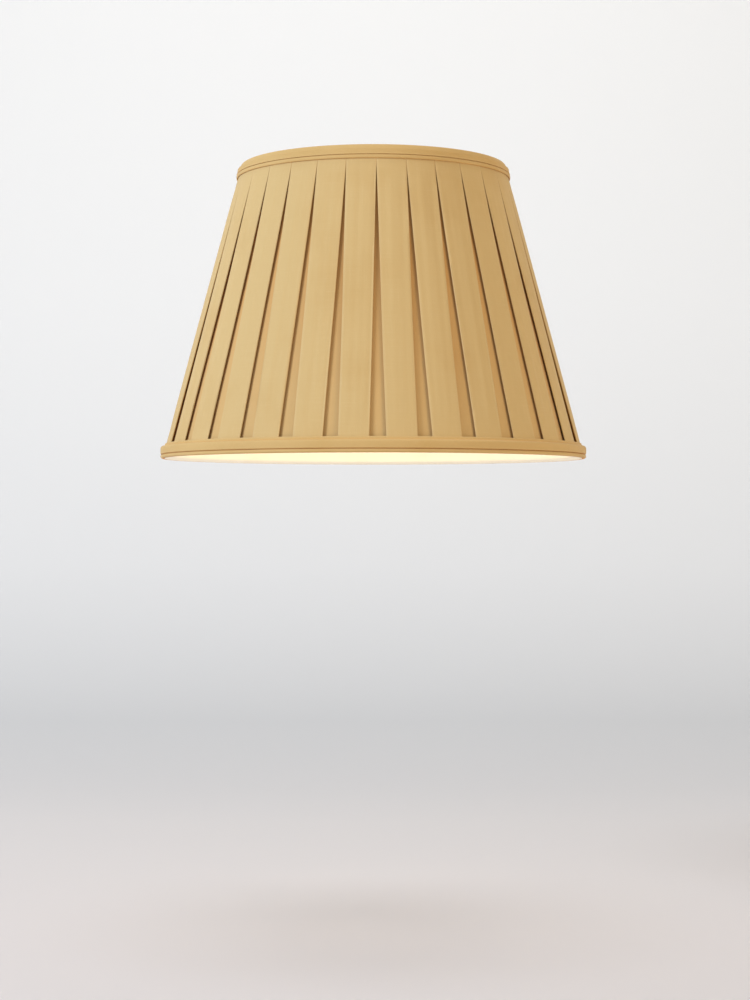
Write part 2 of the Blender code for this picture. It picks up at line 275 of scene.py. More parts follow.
@dataclass(frozen=True)
class WovenCotton:
    """Plain-weave cotton whose threads follow the flat cloth."""

    name: str
    tone: Colour
    pale: Colour
    deep: Colour
    # colour of painted shade in recesses, under folds, in coves and behind the piping
    painted_shade: Colour
    thread: float = 0.40 * MM
    bias: float = 0.0
    warp_slub: Scale = (1400.0, 45.0, 1.0)
    weft_slub: Scale = (38.0, 1500.0, 1.0)
    weave_share: float = 0.10
    relief: float = 0.011 * MM
    slub_relief: float = 0.008 * MM
    soft_relief: float = 0.03 * MM
    slub_share: float = 0.16
    press_highlight_share: float = 0.22
    painted_shade_share: float = 0.85
    sheen: float = 0.10

    def material(self) -> bpy.types.Material:
        """Make the material."""
        graph = Graph(self.name)
        cloth = graph.cloth_place()
        grain = graph.mapped(cloth, (1.0, 1.0, 1.0), self.bias)
        across, down = graph.along(grain)
        weave = (across * (math.pi / self.thread)).sine() * (down * (math.pi / self.thread)).sine()
        warp_slub = graph.noise(graph.mapped(grain, self.warp_slub), 1.0, 1.0)
        weft_slub = graph.noise(graph.mapped(grain, self.weft_slub), 1.0, 1.0)
        slub = warp_slub + weft_slub
        broad = graph.noise(graph.place(), 17.0, 3.0)
        colour = graph.mixed(broad.between(0.25, 0.55), self.deep, self.tone)
        colour = graph.mixed(slub.between(0.95, 1.45) * self.slub_share, colour, self.pale)
        colour = graph.mixed(weave.between(0.2, 1.0) * self.weave_share, colour, self.deep)
        # Values above zero make folds and edges paler: partly the pressed cloth, partly a painted
        # highlight.
        colour = graph.mixed(graph.press_and_shading() * self.press_highlight_share, colour, self.pale)
        # Values below zero paint shade: recesses, cloth under the panel edges, the coves and the back of
        # the piping take a darker, more orange colour.
        shaded = (0.0 - graph.press_and_shading()).between(0.0, 1.0)
        colour = graph.mixed(shaded * self.painted_shade_share, colour, self.painted_shade)
        rough = 0.74 + broad * 0.14 - graph.press_and_shading() * 0.08
        soft = graph.noise(graph.place(), 140.0, 2.0)
        height = weave * self.relief + slub * self.slub_relief + soft * self.soft_relief
        return graph.surface(
            colour, rough, graph.bump(height), Sheen_Weight=self.sheen, Sheen_Roughness=0.45,
            Sheen_Tint=(1.0, 0.96, 0.90, 1.0), Specular_IOR_Level=0.18,
        )


@dataclass(frozen=True)
class PowderCoat:
    """Off-white powder coat with a fine orange-peel surface."""

    colour: Colour = (0.80, 0.785, 0.74)
    thin: Colour = (0.66, 0.64, 0.59)
    relief: float = 0.035 * MM

    def material(self) -> bpy.types.Material:
        """Make the material."""
        graph = Graph("powder_coated_wire")
        place = graph.place()
        peel = graph.noise(place, 2600.0, 2.0)
        cloud = graph.noise(place, 60.0, 3.0)
        colour = graph.mixed(cloud.between(0.50, 0.75) * 0.5, self.colour, self.thin)
        rough = 0.36 + cloud * 0.14
        return graph.surface(colour, rough, graph.bump(peel * self.relief))


@dataclass(frozen=True)
class NickelPlate:
    """Nickel plate over stamped steel, with faint draw lines round the ring."""

    colour: Colour = (0.72, 0.69, 0.63)
    dull: Colour = (0.50, 0.475, 0.43)
    draw_lines: Scale = (90.0, 90.0, 5200.0)
    relief: float = 0.006 * MM

    def material(self) -> bpy.types.Material:
        """Make the material."""
        graph = Graph("nickel_plate")
        place = graph.place()
        lines = graph.noise(graph.mapped(place, self.draw_lines), 1.0, 2.0)
        stain = graph.noise(place, 170.0, 4.0)
        colour = graph.mixed(stain.between(0.52, 0.74) * 0.6, self.colour, self.dull)
        rough = 0.20 + stain * 0.16 + lines * 0.06
        return graph.surface(colour, rough, graph.bump(lines * self.relief), Metallic=1.0)


@dataclass(frozen=True)
class MouldedPlastic:
    """Satin white plastic with a fine spark-eroded grain."""

    colour: Colour = (0.86, 0.85, 0.81)
    warm: Colour = (0.80, 0.77, 0.69)
    flow_lines: Scale = (90.0, 90.0, 240.0)
    relief: float = 0.012 * MM

    def material(self) -> bpy.types.Material:
        """Make the material."""
        graph = Graph("moulded_plastic")
        place = graph.place()
        grain = graph.noise(place, 4200.0, 2.0)
        flow = graph.noise(graph.mapped(place, self.flow_lines), 1.0, 3.0)
        colour = graph.mixed(flow.between(0.45, 0.75) * 0.5, self.colour, self.warm)
        rough = 0.38 + grain * 0.12
        return graph.surface(
            colour, rough, graph.bump(grain * self.relief), Subsurface_Weight=0.15,
            Subsurface_Radius=(1.0, 0.8, 0.6), Subsurface_Scale=0.6 * MM,
        )


@dataclass(frozen=True)
class StudioPaint:
    """Matt paint of the studio, clear from behind so that it never hides the shade.

    The colours run from the floor in front, at `near`, to the backdrop, at `far`, and carry painted shade
    and light.
    """

    name: str
    near: float
    far: float
    tones_and_painted_shade: tuple[tuple[float, Colour], ...]

    def material(self) -> bpy.types.Material:
        """Make the material."""
        graph = Graph(self.name)
        place = graph.place()
        depth = (graph.along(place)[1] - self.near) * (1.0 / (self.far - self.near))
        colour = graph.ramp(depth, self.tones_and_painted_shade)
        material = graph.surface(colour, 0.9, None, Specular_IOR_Level=0.1)
        end = next(node for node in graph.tree.nodes if node.type == "OUTPUT_MATERIAL")
        paint = Wire(graph, end.inputs["Surface"].links[0].from_socket)
        behind = graph.node("ShaderNodeNewGeometry", {}, {}, "Backfacing")
        clear = graph.node("ShaderNodeBsdfTransparent", {}, {})
        seen = graph.node("ShaderNodeMixShader", {}, {0: behind, 1: paint, 2: clear})
        graph.tree.links.new(seen.socket, end.inputs["Surface"])
        return material


# Pinkish floor, then a darker grey band of painted shade where the floor bends up, then a backdrop that
# pales upwards as painted light.
SWEEP_PAINT_AND_SHADE = StudioPaint("studio_paint_and_shade", -1.0, 4.0, (
    (0.00, (0.74, 0.70, 0.69)), (0.18, (0.74, 0.695, 0.69)), (0.32, (0.715, 0.685, 0.68)),
    (0.47, (0.63, 0.63, 0.64)), (0.60, (0.79, 0.79, 0.80)), (0.74, (0.88, 0.88, 0.885)),
    (0.84, (0.92, 0.92, 0.92)), (1.00, (0.93, 0.93, 0.93)),
))
OCHRE = WovenCotton(
    "ochre_cotton", (0.670, 0.472, 0.212), (0.770, 0.590, 0.330), (0.640, 0.435, 0.185),
    (0.700, 0.315, 0.075),
)
# The cover's own ochre cotton cut on the bias, given darker, more orange colours: painted shade on the
# trims.
OCHRE_BIAS_SHADED = WovenCotton(
    "ochre_bias_cotton_shaded", (0.665, 0.443, 0.180), (0.755, 0.553, 0.275), (0.625, 0.402, 0.150),
    (0.700, 0.300, 0.060), bias=math.pi / 4, press_highlight_share=0.18,
)
CREAM = WovenCotton(
    "cream_lining_cotton", (0.90, 0.84, 0.70), (0.93, 0.89, 0.79), (0.88, 0.81, 0.65), (0.84, 0.76, 0.58),
    thread=0.30 * MM, relief=0.006 * MM, slub_relief=0.010 * MM, sheen=0.12,
)
TAPE = WovenCotton(
    "unbleached_tape", (0.82, 0.76, 0.63), (0.88, 0.83, 0.72), (0.74, 0.67, 0.53), (0.60, 0.52, 0.38),
    thread=0.55 * MM, relief=0.03 * MM, sheen=0.10,
)


# ------------------------------------------------------------------ meshes


def around(azimuth: float, radius: float, height: float) -> Vector:
    """Point at an azimuth, a radius and a height."""
    return Vector((radius * math.sin(azimuth), -radius * math.cos(azimuth), height))


def smooth_step(value: float) -> float:
    """Smooth rise from 0 to 1 as the value goes from 0 to 1."""
    value = min(max(value, 0.0), 1.0)
    return value * value * (3.0 - 2.0 * value)


def apart(azimuth: float, other: float) -> float:
    """Turn from another azimuth to this one, -pi to pi."""
    return (azimuth - other + math.pi) % math.tau - math.pi


def arc(centre: tuple[float, float], radius: float, start: float, end: float, steps: int) -> Outline:
    """Points of an arc in a section.

    Args:
        centre: centre as (radius, height).
        radius: radius of the arc.
        start: first angle in degrees, 0 outwards and 90 up.
        end: last angle in degrees.
        steps: number of spans.

    Returns:
        The points in order.
    """
    angles = [math.radians(start + (end - start) * k / steps) for k in range(steps + 1)]
    return [(centre[0] + radius * math.cos(a), centre[1] + radius * math.sin(a)) for a in angles]


def with_values(points: Outline, press_and_shading: Union[float, Sequence[float]]) -> Profile:
    """Add a third value to each point of a section, mostly its press value: above 0 a paler pressed fold,
    partly painted highlight, and below 0 painted shade; one value, or one each.
    """
    values = [press_and_shading] * len(points) if isinstance(press_and_shading, float) else press_and_shading
    return [(*point, value) for point, value in zip(points, values)]


def runs_along(points: Sequence[Sequence[float]]) -> list[float]:
    """Distance run along a section at each of its points."""
    return [0.0, *accumulate(math.dist(a[:2], b[:2]) for a, b in zip(points, points[1:]))]


class Waves:
    """Low waves round the shade with random phases, as handwork leaves them."""

    def __init__(self, seed: int, count: int, fewest: int, most: int) -> None:
        """Draw a count of waves whose numbers of crests lie between two limits."""
        draw = np.random.default_rng(seed)
        self.waves = [(int(draw.integers(fewest, most)), draw.uniform(0, math.tau)) for _ in range(count)]

    def at(self, azimuth: float) -> float:
        """Height of the waves at an azimuth, -1 to 1."""
        return sum(math.sin(n * azimuth + phase) for n, phase in self.waves) / len(self.waves)


class Cloth:
    """Cloth woven as a grid of points, with its flat place as a UV map in metres."""

    def __init__(self, name: str, wrap: bool = False, cord: bool = False) -> None:
        """Start a cloth.

        Args:
            name: the piece's name.
            wrap: whether the last column joins the first.
            cord: whether the last row repeats the first, as round a cord.
        """
        self.name = name
        self.wrap = wrap
        self.cord = cord
        self.rows: list[list[Vector]] = []
        self.flat: list[Outline] = []
        self.press_and_shading: list[list[float]] = []

    def add_row(self, points: list[Vector], flat: Outline, press_and_shading: list[float]) -> None:
        """Add a row of points with their flat places and their press values, which carry pressed folds,
        painted highlight and painted shade.

        A row that wraps gets one more flat place, so that the map doesn't run back at the join.
        """
        if self.wrap:
            flat = flat + [(flat[-1][0] + flat[1][0] - flat[0][0], flat[-1][1])]
        self.rows.append(points)
        self.flat.append(flat)
        self.press_and_shading.append(press_and_shading)

    def made(self, thickness: float, smooth_angle: float = 50.0) -> bpy.types.Object:
        """Make the object.

        Args:
            thickness: thickness that a cloth gets, unless it is a cord.
            smooth_angle: angle in degrees past which an edge stays crisp.

        Returns:
            The object.
        """
        columns = len(self.rows[0])
        spans = columns if self.wrap else columns - 1
        rows = len(self.rows) - 1 if self.cord else len(self.rows)
        faces, places = [], []
        for row in range(len(self.rows) - 1):
            for column in range(spans):
                corners = [(row, column), (row, column + 1), (row + 1, column + 1), (row + 1, column)]
                faces.append([(r % rows) * columns + c % columns for r, c in corners])
                places += [self.flat[r][c] for r, c in corners]
        mesh = bpy.data.meshes.new(self.name)
        mesh.from_pydata([point for row in self.rows[:rows] for point in row], [], faces)
        layer = mesh.uv_layers.new(name=CLOTH_MAP)
        layer.data.foreach_set("uv", np.array(places, dtype=np.float32).ravel())
        press_and_shading = mesh.attributes.new(PRESS_AND_SHADING, "FLOAT", "POINT")
        press_and_shading.data.foreach_set("value", np.array(self.press_and_shading[:rows], dtype=np.float32).ravel())
        piece = bpy.data.objects.new(self.name, mesh)
        bpy.context.scene.collection.objects.link(piece)
        if not self.cord:
            apply_modifier(piece, "SOLIDIFY", thickness=thickness, offset=0.0)
        smoothed(piece, smooth_angle)
        return piece


def choose(piece: bpy.types.Object) -> None:
    """Select one object alone and make it the active one."""
    bpy.ops.object.select_all(action="DESELECT")
    piece.select_set(True)
    bpy.context.view_layer.objects.active = piece


def apply_modifier(piece: bpy.types.Object, kind: str, **settings: Any) -> None:
    """Add a modifier with its settings and apply it."""
    choose(piece)
    modifier = piece.modifiers.new(kind.lower(), kind)
    for name, value in settings.items():
        setattr(modifier, name, value)
    bpy.ops.object.modifier_apply(modifier=modifier.name)


def smoothed(piece: bpy.types.Object, angle: float = 35.0) -> None:
    """Shade a piece smooth, apart from edges sharper than an angle in degrees."""
    choose(piece)
    bpy.ops.object.shade_smooth_by_angle(angle=math.radians(angle))


def settle(piece: bpy.types.Object, name: str) -> bpy.types.Object:
    """Name a modelled piece and move its place into its mesh."""
    choose(piece)
    bpy.ops.object.transform_apply(location=True, rotation=True, scale=True)
    piece.name = name
    piece.data.name = name
    return piece


class Bench:
    """Modelling by hand: a primitive, then edit-mode tools."""

    @staticmethod
    def edit(piece: bpy.types.Object) -> None:
        """Open a piece in edit mode with everything selected."""
        choose(piece)
        bpy.ops.object.mode_set(mode="EDIT")
        bpy.ops.mesh.select_all(action="SELECT")

    @staticmethod
    def close() -> None:
        """Merge doubles, turn the faces outwards and leave edit mode."""
        bpy.ops.mesh.select_all(action="SELECT")
        bpy.ops.mesh.remove_doubles(threshold=0.001 * MM)
        bpy.ops.mesh.normals_make_consistent(inside=False)
        bpy.ops.object.mode_set(mode="OBJECT")

    @classmethod
    def turned(cls, name: str, outline: Outline, steps: int, axis: Axis = Axis.Z,
               level: float = 0.0) -> bpy.types.Object:
        """Turn a closed outline about an axis.

        Args:
            name: the piece's name.
            outline: (radius, place along the axis) points.
            steps: facets round the axis.
            axis: Z, or Y for a pin that lies along Y.
            level: height of a Y axis.

        Returns:
            The piece.
        """
        bpy.ops.object.select_all(action="DESELECT")
        bpy.ops.mesh.primitive_circle_add(vertices=len(outline), radius=0.01, fill_type="NOTHING")
        piece = bpy.context.object
        for vertex, (radius, run) in zip(piece.data.vertices, outline):
            vertex.co = (radius, 0.0, run) if axis is Axis.Z else (radius, run, level)
        cls.edit(piece)
        bpy.ops.mesh.spin(steps=steps, angle=math.tau, center=(0.0, 0.0, level), axis=axis.value)
        cls.close()
        smoothed(piece)
        return settle(piece, name)

    @staticmethod
    def bored(piece: bpy.types.Object, radius: float, reach: float, level: float) -> None:
        """Bore a hole right through a piece along Y.

        Args:
            piece: the piece to bore.
            radius: radius of the hole.
            reach: half length of the drill.
            level: height of the hole.
        """
        bpy.ops.object.select_all(action="DESELECT")
        bpy.ops.mesh.primitive_cylinder_add(
            vertices=32, radius=radius, depth=2 * reach, location=(0.0, 0.0, level),
            rotation=(math.pi / 2, 0.0, 0.0),
        )
        drill = bpy.context.object
        apply_modifier(piece, "BOOLEAN", operation="DIFFERENCE", object=drill, solver="EXACT")
        bpy.data.objects.remove(drill, do_unlink=True)
        smoothed(piece)

    @staticmethod
    def rounded(piece: bpy.types.Object, width: float) -> None:
        """Round the crisp edges of a piece."""
        apply_modifier(
            piece, "BEVEL", width=width, segments=3, limit_method="ANGLE",
            angle_limit=math.radians(40), profile=0.5, use_clamp_overlap=True,
        )
        smoothed(piece, 40.0)

    @classmethod
    def wire(cls, start: Vector, heading: Vector, radius: float, sides: int = 16) -> None:
        """Start a wire as an open circle across its heading, in edit mode."""
        bpy.ops.object.select_all(action="DESELECT")
        turn = heading.to_track_quat("Z", "X").to_euler()
        bpy.ops.mesh.primitive_circle_add(
            vertices=sides, radius=radius, fill_type="NOTHING", location=start, rotation=turn
        )
        bpy.ops.object.transform_apply(location=True, rotation=True, scale=True)
        cls.edit(bpy.context.object)

    @staticmethod
    def draw(way: Vector, swell: float = 1.0) -> None:
        """Extrude the open end of a wire and widen it."""
        bpy.ops.mesh.extrude_region_move(TRANSFORM_OT_translate={"value": way})
        if swell != 1.0:
            bpy.ops.transform.resize(value=(swell, swell, swell))

    @classmethod
    def bead(cls, way: Vector, steps: Sequence[float], swells: Sequence[float]) -> None:
        """Draw a weld bead in steps, each with its own change of width."""
        for step, swell in zip(steps, swells):
            cls.draw(way * step, swell)

    @classmethod
    def cap(cls, name: str) -> bpy.types.Object:
        """Close both ends of a wire and leave edit mode."""
        bpy.ops.mesh.select_all(action="SELECT")
        bpy.ops.mesh.fill_holes(sides=0)
        cls.close()
        piece = bpy.context.object
        smoothed(piece, 50.0)
        return settle(piece, name)


def dress(piece: bpy.types.Object, finish: bpy.types.Material, slot: Slot, body: Body, *nodes: str) -> None:
    """Give a piece its finish, the body that it rides on and the nodes that it stands for.

    Args:
        piece: the finished piece.
        finish: its material.
        slot: the record's name for the finish; not used.
        body: the body that it rides on.
        nodes: the CAD nodes that it replaces.
    """
    piece.data.materials.clear()
    piece.data.materials.append(finish)
    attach(piece, body.value)
    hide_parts(*nodes)
    LOG.info("%s: %d faces, for %s", piece.name, len(piece.data.polygons), ", ".join(nodes))


# ------------------------------------------------------------------ places from the frame


def polar(node: str) -> Outline:
    """(radius, height) of each corner of a node."""
    corners = [vertex.co for vertex in frame["nodes"][node].data.vertices]
    return [(math.hypot(corner.x, corner.y), corner.z) for corner in corners]


def turned_size(node: str) -> tuple[float, float, float, float]:
    """Inner and outer radius, and lowest and highest point, of a node turned about Z."""
    radii, heights = zip(*polar(node))
    return min(radii), max(radii), min(heights), max(heights)


class Layout:
    """Sizes and places that the frame gives."""

    near: float = 0.01 * MM

    def __init__(self) -> None:
        """Read the frame."""
        cover = polar("pleat_panel_1")
        _, _, self.cover_low, self.cover_high = turned_size("pleat_panel_1")
        self.foot = max(radius for radius, height in cover if height < self.cover_low + self.near)
        self.head = max(radius for radius, height in cover if height > self.cover_high - self.near)
        self.lean = (self.foot - self.head) / (self.cover_high - self.cover_low)
        self.stretch = math.hypot(1.0, self.lean)
        low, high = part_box("strut_1")
        self.frame_turn = math.atan2(low.x + high.x, -(low.y + high.y))
        self.pivot = Vector(frame["joints"][0]["pos_m"]).z

    def radius(self, height: float, inset: float = 0.0) -> float:
        """Radius of the cone that lies `inset` inside the pleats' faces."""
        return self.foot - (height - self.cover_low) * self.lean - inset * self.stretch

    def strut_azimuth(self, index: int) -> float:
        """Azimuth of one of the six struts."""
        return self.frame_turn + index * math.tau / 6

    def arm_azimuth(self, index: int) -> float:
        """Azimuth of one of the three drop arms, midway between two struts."""
        return self.frame_turn + math.pi / 6 + index * math.tau / 3


# ------------------------------------------------------------------ cover


@dataclass
class Pleat:
    """Small differences between one pleat and the next, as a sewer leaves them."""

    shift: float
    slack: float
    crown: float
    ripple: float
    phase: float
    drift: float


@dataclass
class PleatedCover:
    """Box-pleated cover, in strips that join out of sight under a pleat."""

    layout: Layout
    pleats: int = 30
    strips: int = 6
    panel_width: float = 23.98 * MM
    least_gap: float = 0.18 * MM
    cloth: float = 0.36 * MM
    recess_depth: float = 3.08 * MM
    edge_fold: float = 0.31 * MM
    top_under_lap: float = 8.6 * MM
    seam_lap: float = 2.6 * MM
    crown: tuple[float, float] = (0.12 * MM, 0.42 * MM)
    ripple: tuple[float, float] = (0.17 * MM, 0.33 * MM)
    wander: float = 0.050
    sag: float = 0.10 * MM
    trim_low: float = 13 * MM
    trim_high: float = 237 * MM
    crease_press_highlight: float = 0.55
    recess_shade_range: tuple[float, float] = (0.26, 0.48)
    rows: int = 46
    face_spans: int = 14
    fold_spans: int = 6
    lap_spans: int = 4
    recess_spans: int = 8
    seed: int = 7

    def __post_init__(self) -> None:
        """Work out the depths of the layers and each pleat's small differences."""
        self.face_depth = self.cloth / 2
        self.return_depth = self.face_depth + 2 * self.edge_fold
        self.inner_fold = (self.recess_depth - self.return_depth) / 2
        self.pitch = math.tau / self.pleats
        draw = np.random.default_rng(self.seed)
        self.nature = [
            Pleat(
                draw.uniform(-1, 1), draw.uniform(-1, 1), draw.uniform(*self.crown),
                draw.uniform(*self.ripple), draw.uniform(0, math.tau), draw.uniform(-1.6, 1.6),
            )
            for _ in range(self.pleats)
        ]

    def fade(self, height: float) -> float:
        """How free the cloth is at a height, 0 under the trims and 1 between them."""
        low = smooth_step((height - self.trim_low) / (26 * MM))
        high = smooth_step((self.trim_high - height) / (30 * MM))
        return low * high

    def opening(self, height: float) -> float:
        """Width of the gap between two panels at a height."""
        return max(self.pitch * self.layout.radius(height) - self.panel_width, self.least_gap)

    def half_width(self, index: int, height: float) -> float:
        """Half the width of a panel at a height."""
        width = self.pitch * self.layout.radius(height) - self.opening(height)
        return (width + 0.02 * self.opening(height) * self.nature[index % self.pleats].slack) / 2

    def middle(self, index: int, height: float) -> float:
        """Place round the cone, in metres, of a panel's middle."""
        nature = self.nature[index % self.pleats]
        path = 0.6 * nature.shift + 0.4 * math.sin(height * 26.0 + nature.phase)
        shift = self.wander * self.opening(height) * path
        return (index + 0.5) * self.pitch * self.layout.radius(height) + shift

    def face(self, index: int, share: float, height: float) -> float:
        """Depth of a panel's face, -1 to 1 across, with its crown and ripples."""
        nature = self.nature[index % self.pleats]
        bow = nature.crown * (1 - share * share)
        angle = 5.2 * share + nature.phase + nature.drift * math.sin(7.0 * height + nature.phase)
        wave = nature.ripple * math.sin(angle) * (0.6 + 0.4 * math.sin(19.0 * height + 2 * nature.phase))
        fine = 0.35 * nature.ripple * math.sin(11.0 * share - 9.0 * height + 3 * nature.phase)
        return self.face_depth - self.fade(height) * (bow + wave + fine)

    def section(self, strip: int, height: float) -> Profile:
        """Section of one strip at a height, as (place round the cone, depth, press value with its painted
        highlight or shade) points.
        """
        count = self.pleats // self.strips
        lap = self.top_under_lap - self.opening(height) / 4
        # Recess cloth gets painted shade, deeper higher up where the panels close over it.
        closed = 1 - self.opening(height) / self.opening(self.layout.cover_low)
        recess_shade = self.recess_shade_range[0] + self.recess_shade_range[1] * closed
        points: Profile = []
        for index in range(strip * count, (strip + 1) * count):
            last = index == (strip + 1) * count - 1
            middle, half = self.middle(index, height), self.half_width(index, height)
            points += self.side(middle, half, lap, -1, with_inner=index > strip * count)
            for k in range(self.face_spans + 1):
                share = -1 + 2 * k / self.face_spans
                # Both edge points of a panel's face are made paler: partly the pressed crease, partly a
                # painted highlight.
                press_and_shading = self.crease_press_highlight if abs(share) == 1 else 0.0
                place = middle + share * (half - self.edge_fold)
                points.append((place, self.face(index, share, height), press_and_shading))
            points += self.side(middle, half, lap, 1, with_inner=True)[::-1]
            begin = middle + half - lap
            after = self.middle(index + 1, height) - self.half_width(index + 1, height)
            end = after + lap - (self.seam_lap if last else 0.0)
            for k in range(1, self.recess_spans + last):
                share = k / self.recess_spans
                sag = self.sag * math.sin(math.pi * share) * self.fade(height)
                points.append((begin + (end - begin) * share, self.recess_depth - sag, -recess_shade))
        return points

    def side(self, middle: float, half: float, lap: float, side: int, with_inner: bool) -> Profile:
        """Folds under one edge of a panel, from the inner fold outwards.

        Args:
            middle: place of the panel's middle.
            half: half its width.
            lap: how far the cloth goes back under it.
            side: -1 for the left edge and 1 for the right.
            with_inner: whether the inner fold belongs to this strip.

        Returns:
            The points, as (place, depth, press value with its painted highlight or shade).
        """
        turn = middle + side * (half - lap)
        edge = middle + side * (half - self.edge_fold)
        points = []
        # The inner fold and the cloth turned back under the panel get painted shade.
        if with_inner:
            level = self.return_depth + self.inner_fold
            points += self.fold(turn, level, -side * self.inner_fold, [-1.0] * self.fold_spans)
        for k in range(self.lap_spans):
            points.append((turn + (edge - turn) * k / self.lap_spans, self.return_depth, -1.0))
        # The edge fold is made paler over its crest, partly pressed cloth and partly painted highlight,
        # with a little painted shade where it turns under.
        shares = [k / self.fold_spans for k in range(self.fold_spans)]
        fold_shading = [math.sin(math.pi * share) - share ** 2 for share in shares]
        return points + self.fold(edge, self.face_depth + self.edge_fold, side * self.edge_fold, fold_shading)

    def fold(self, place: float, depth: float, reach: float, fold_shading: Sequence[float]) -> Profile:
        """Half round of a fold, from its deep side; the sign of its reach is the way that it bulges."""
        angles = [math.pi * k / self.fold_spans for k in range(self.fold_spans)]
        return [
            (place + reach * math.sin(angle), depth + abs(reach) * math.cos(angle), press_and_shading)
            for angle, press_and_shading in zip(angles, fold_shading)
        ]

    def build(self, finish: bpy.types.Material) -> None:
        """Build the strips and dress them."""
        low, high = self.layout.cover_low, self.layout.cover_high
        for strip in range(self.strips):
            cloth = Cloth(f"pleated_strip_{strip + 1}")
            widths = []
            for row in range(self.rows + 1):
                height = low + (high - low) * row / self.rows
                slant = (height - low) * self.layout.stretch
                section = self.section(strip, height)
                points = [
                    around(
                        self.layout.frame_turn + place / self.layout.radius(height),
                        self.layout.radius(height, depth), height + depth * self.layout.lean,
                    )
                    for place, depth, _ in section
                ]
                runs = runs_along(section)
                widths.append(runs[-1])
                cloth.add_row(points, [(run, slant) for run in runs], [press_and_shading for _, _, press_and_shading in section])
            piece = cloth.made(self.cloth)
            dress(piece, finish, Slot.PLEATS, Body.SHADE, f"pleat_panel_{strip + 1}")
            cut = (widths[self.rows // 2], (high - low) * self.layout.stretch)
            LOG.info("%s is cut to %.0f by %.0f mm", piece.name, cut[0] / MM, cut[1] / MM)


# ------------------------------------------------------------------ trims


@dataclass(frozen=True)
class Cord:
    """Section of a piping: its middle, half depth, half height, and how far its back bulges."""

    centre: tuple[float, float]
    half_depth: float
    half_height: float
    back: float = 1.0


@dataclass
class RimTrim:
    """Bias band and corded piping round one rim; each rim has its own sections."""

    layout: Layout
    rim: Rim = Rim.BOTTOM
    columns: int = 360
    cloth: float = 0.40 * MM
    pleats: int = 30
    telegraph: float = 0.10 * MM
    unevenness: float = 0.14 * MM
    cord_sides: int = 20
    cord_unevenness: float = 0.025

    def __post_init__(self) -> None:
        """Read the band's and the piping's places."""
        self.azimuths = [math.tau * column / self.columns for column in range(self.columns)]
        _, self.outer, self.low, self.high = turned_size(f"{self.rim.value}_band")
        _, self.cord_outer, self.cord_low, self.cord_high = turned_size(f"{self.rim.value}_piping")

    def profile(self) -> Profile:
        """Section of the band's mid-surface, as (radius, height, press value with its painted highlight or
        shade) points.
        """
        raise NotImplementedError

    def free(self, height: float) -> float:
        """How far the pleats below show through at a height, 0 to 1."""
        raise NotImplementedError

    def cord(self) -> Cord:
        """Section of the piping."""
        raise NotImplementedError

    def band(self, profile: Profile) -> bpy.types.Object:
        """Make a bias band that follows a section round the rim."""
        cloth = Cloth(f"{self.rim.value}_bias_band", wrap=True)
        waves = Waves(11, 6, 5, 40)
        for (radius, height, press_and_shading), run in zip(profile, runs_along(profile)):
            points = []
            for azimuth in self.azimuths:
                show = max(math.cos(self.pleats * (azimuth - self.layout.frame_turn)), 0.0)
                push = self.free(height) * (self.unevenness * waves.at(azimuth) - self.telegraph * show)
                points.append(around(azimuth, radius + push, height))
            flat = [(azimuth * radius, run) for azimuth in self.azimuths]
            cloth.add_row(points, flat, [press_and_shading] * self.columns)
        return cloth.made(self.cloth)

    def piping(self, cord: Cord) -> bpy.types.Object:
        """Make a corded piping with a section."""
        cloth = Cloth(f"{self.rim.value}_corded_piping", wrap=True, cord=True)
        waves = Waves(5, 5, 20, 90)
        radius, height = cord.centre
        for side in range(self.cord_sides + 1):
            angle = math.tau * side / self.cord_sides
            out = math.cos(angle)
            depth = cord.half_depth * out * (1.0 if out > 0 else cord.back)
            rise = cord.half_height * math.sin(angle)
            points = []
            for azimuth in self.azimuths:
                swell = 1 + self.cord_unevenness * waves.at(azimuth)
                points.append(around(azimuth, radius + depth * swell, height + rise * swell))
            flat = [(azimuth * radius, angle * cord.half_height) for azimuth in self.azimuths]
            # The cord's outer crest is made paler, a painted highlight, and its sides and back, down in the
            # groove, get painted shade.
            cloth.add_row(points, flat, [1.3 * max(out, 0.0) - 0.9] * self.columns)
        return cloth.made(0.0, 60.0)

    def build(self, finish: bpy.types.Material) -> None:
        """Build the band and the piping and dress them."""
        rim = self.rim.value
        profile = self.profile()
        band = self.band(profile)
        dress(band, finish, Slot.TRIM, Body.SHADE, f"{rim}_band")
        cord = self.piping(self.cord())
        dress(cord, finish, Slot.TRIM, Body.SHADE, f"{rim}_piping")
        cut = (runs_along(profile)[-1], math.tau * max(point[0] for point in profile))


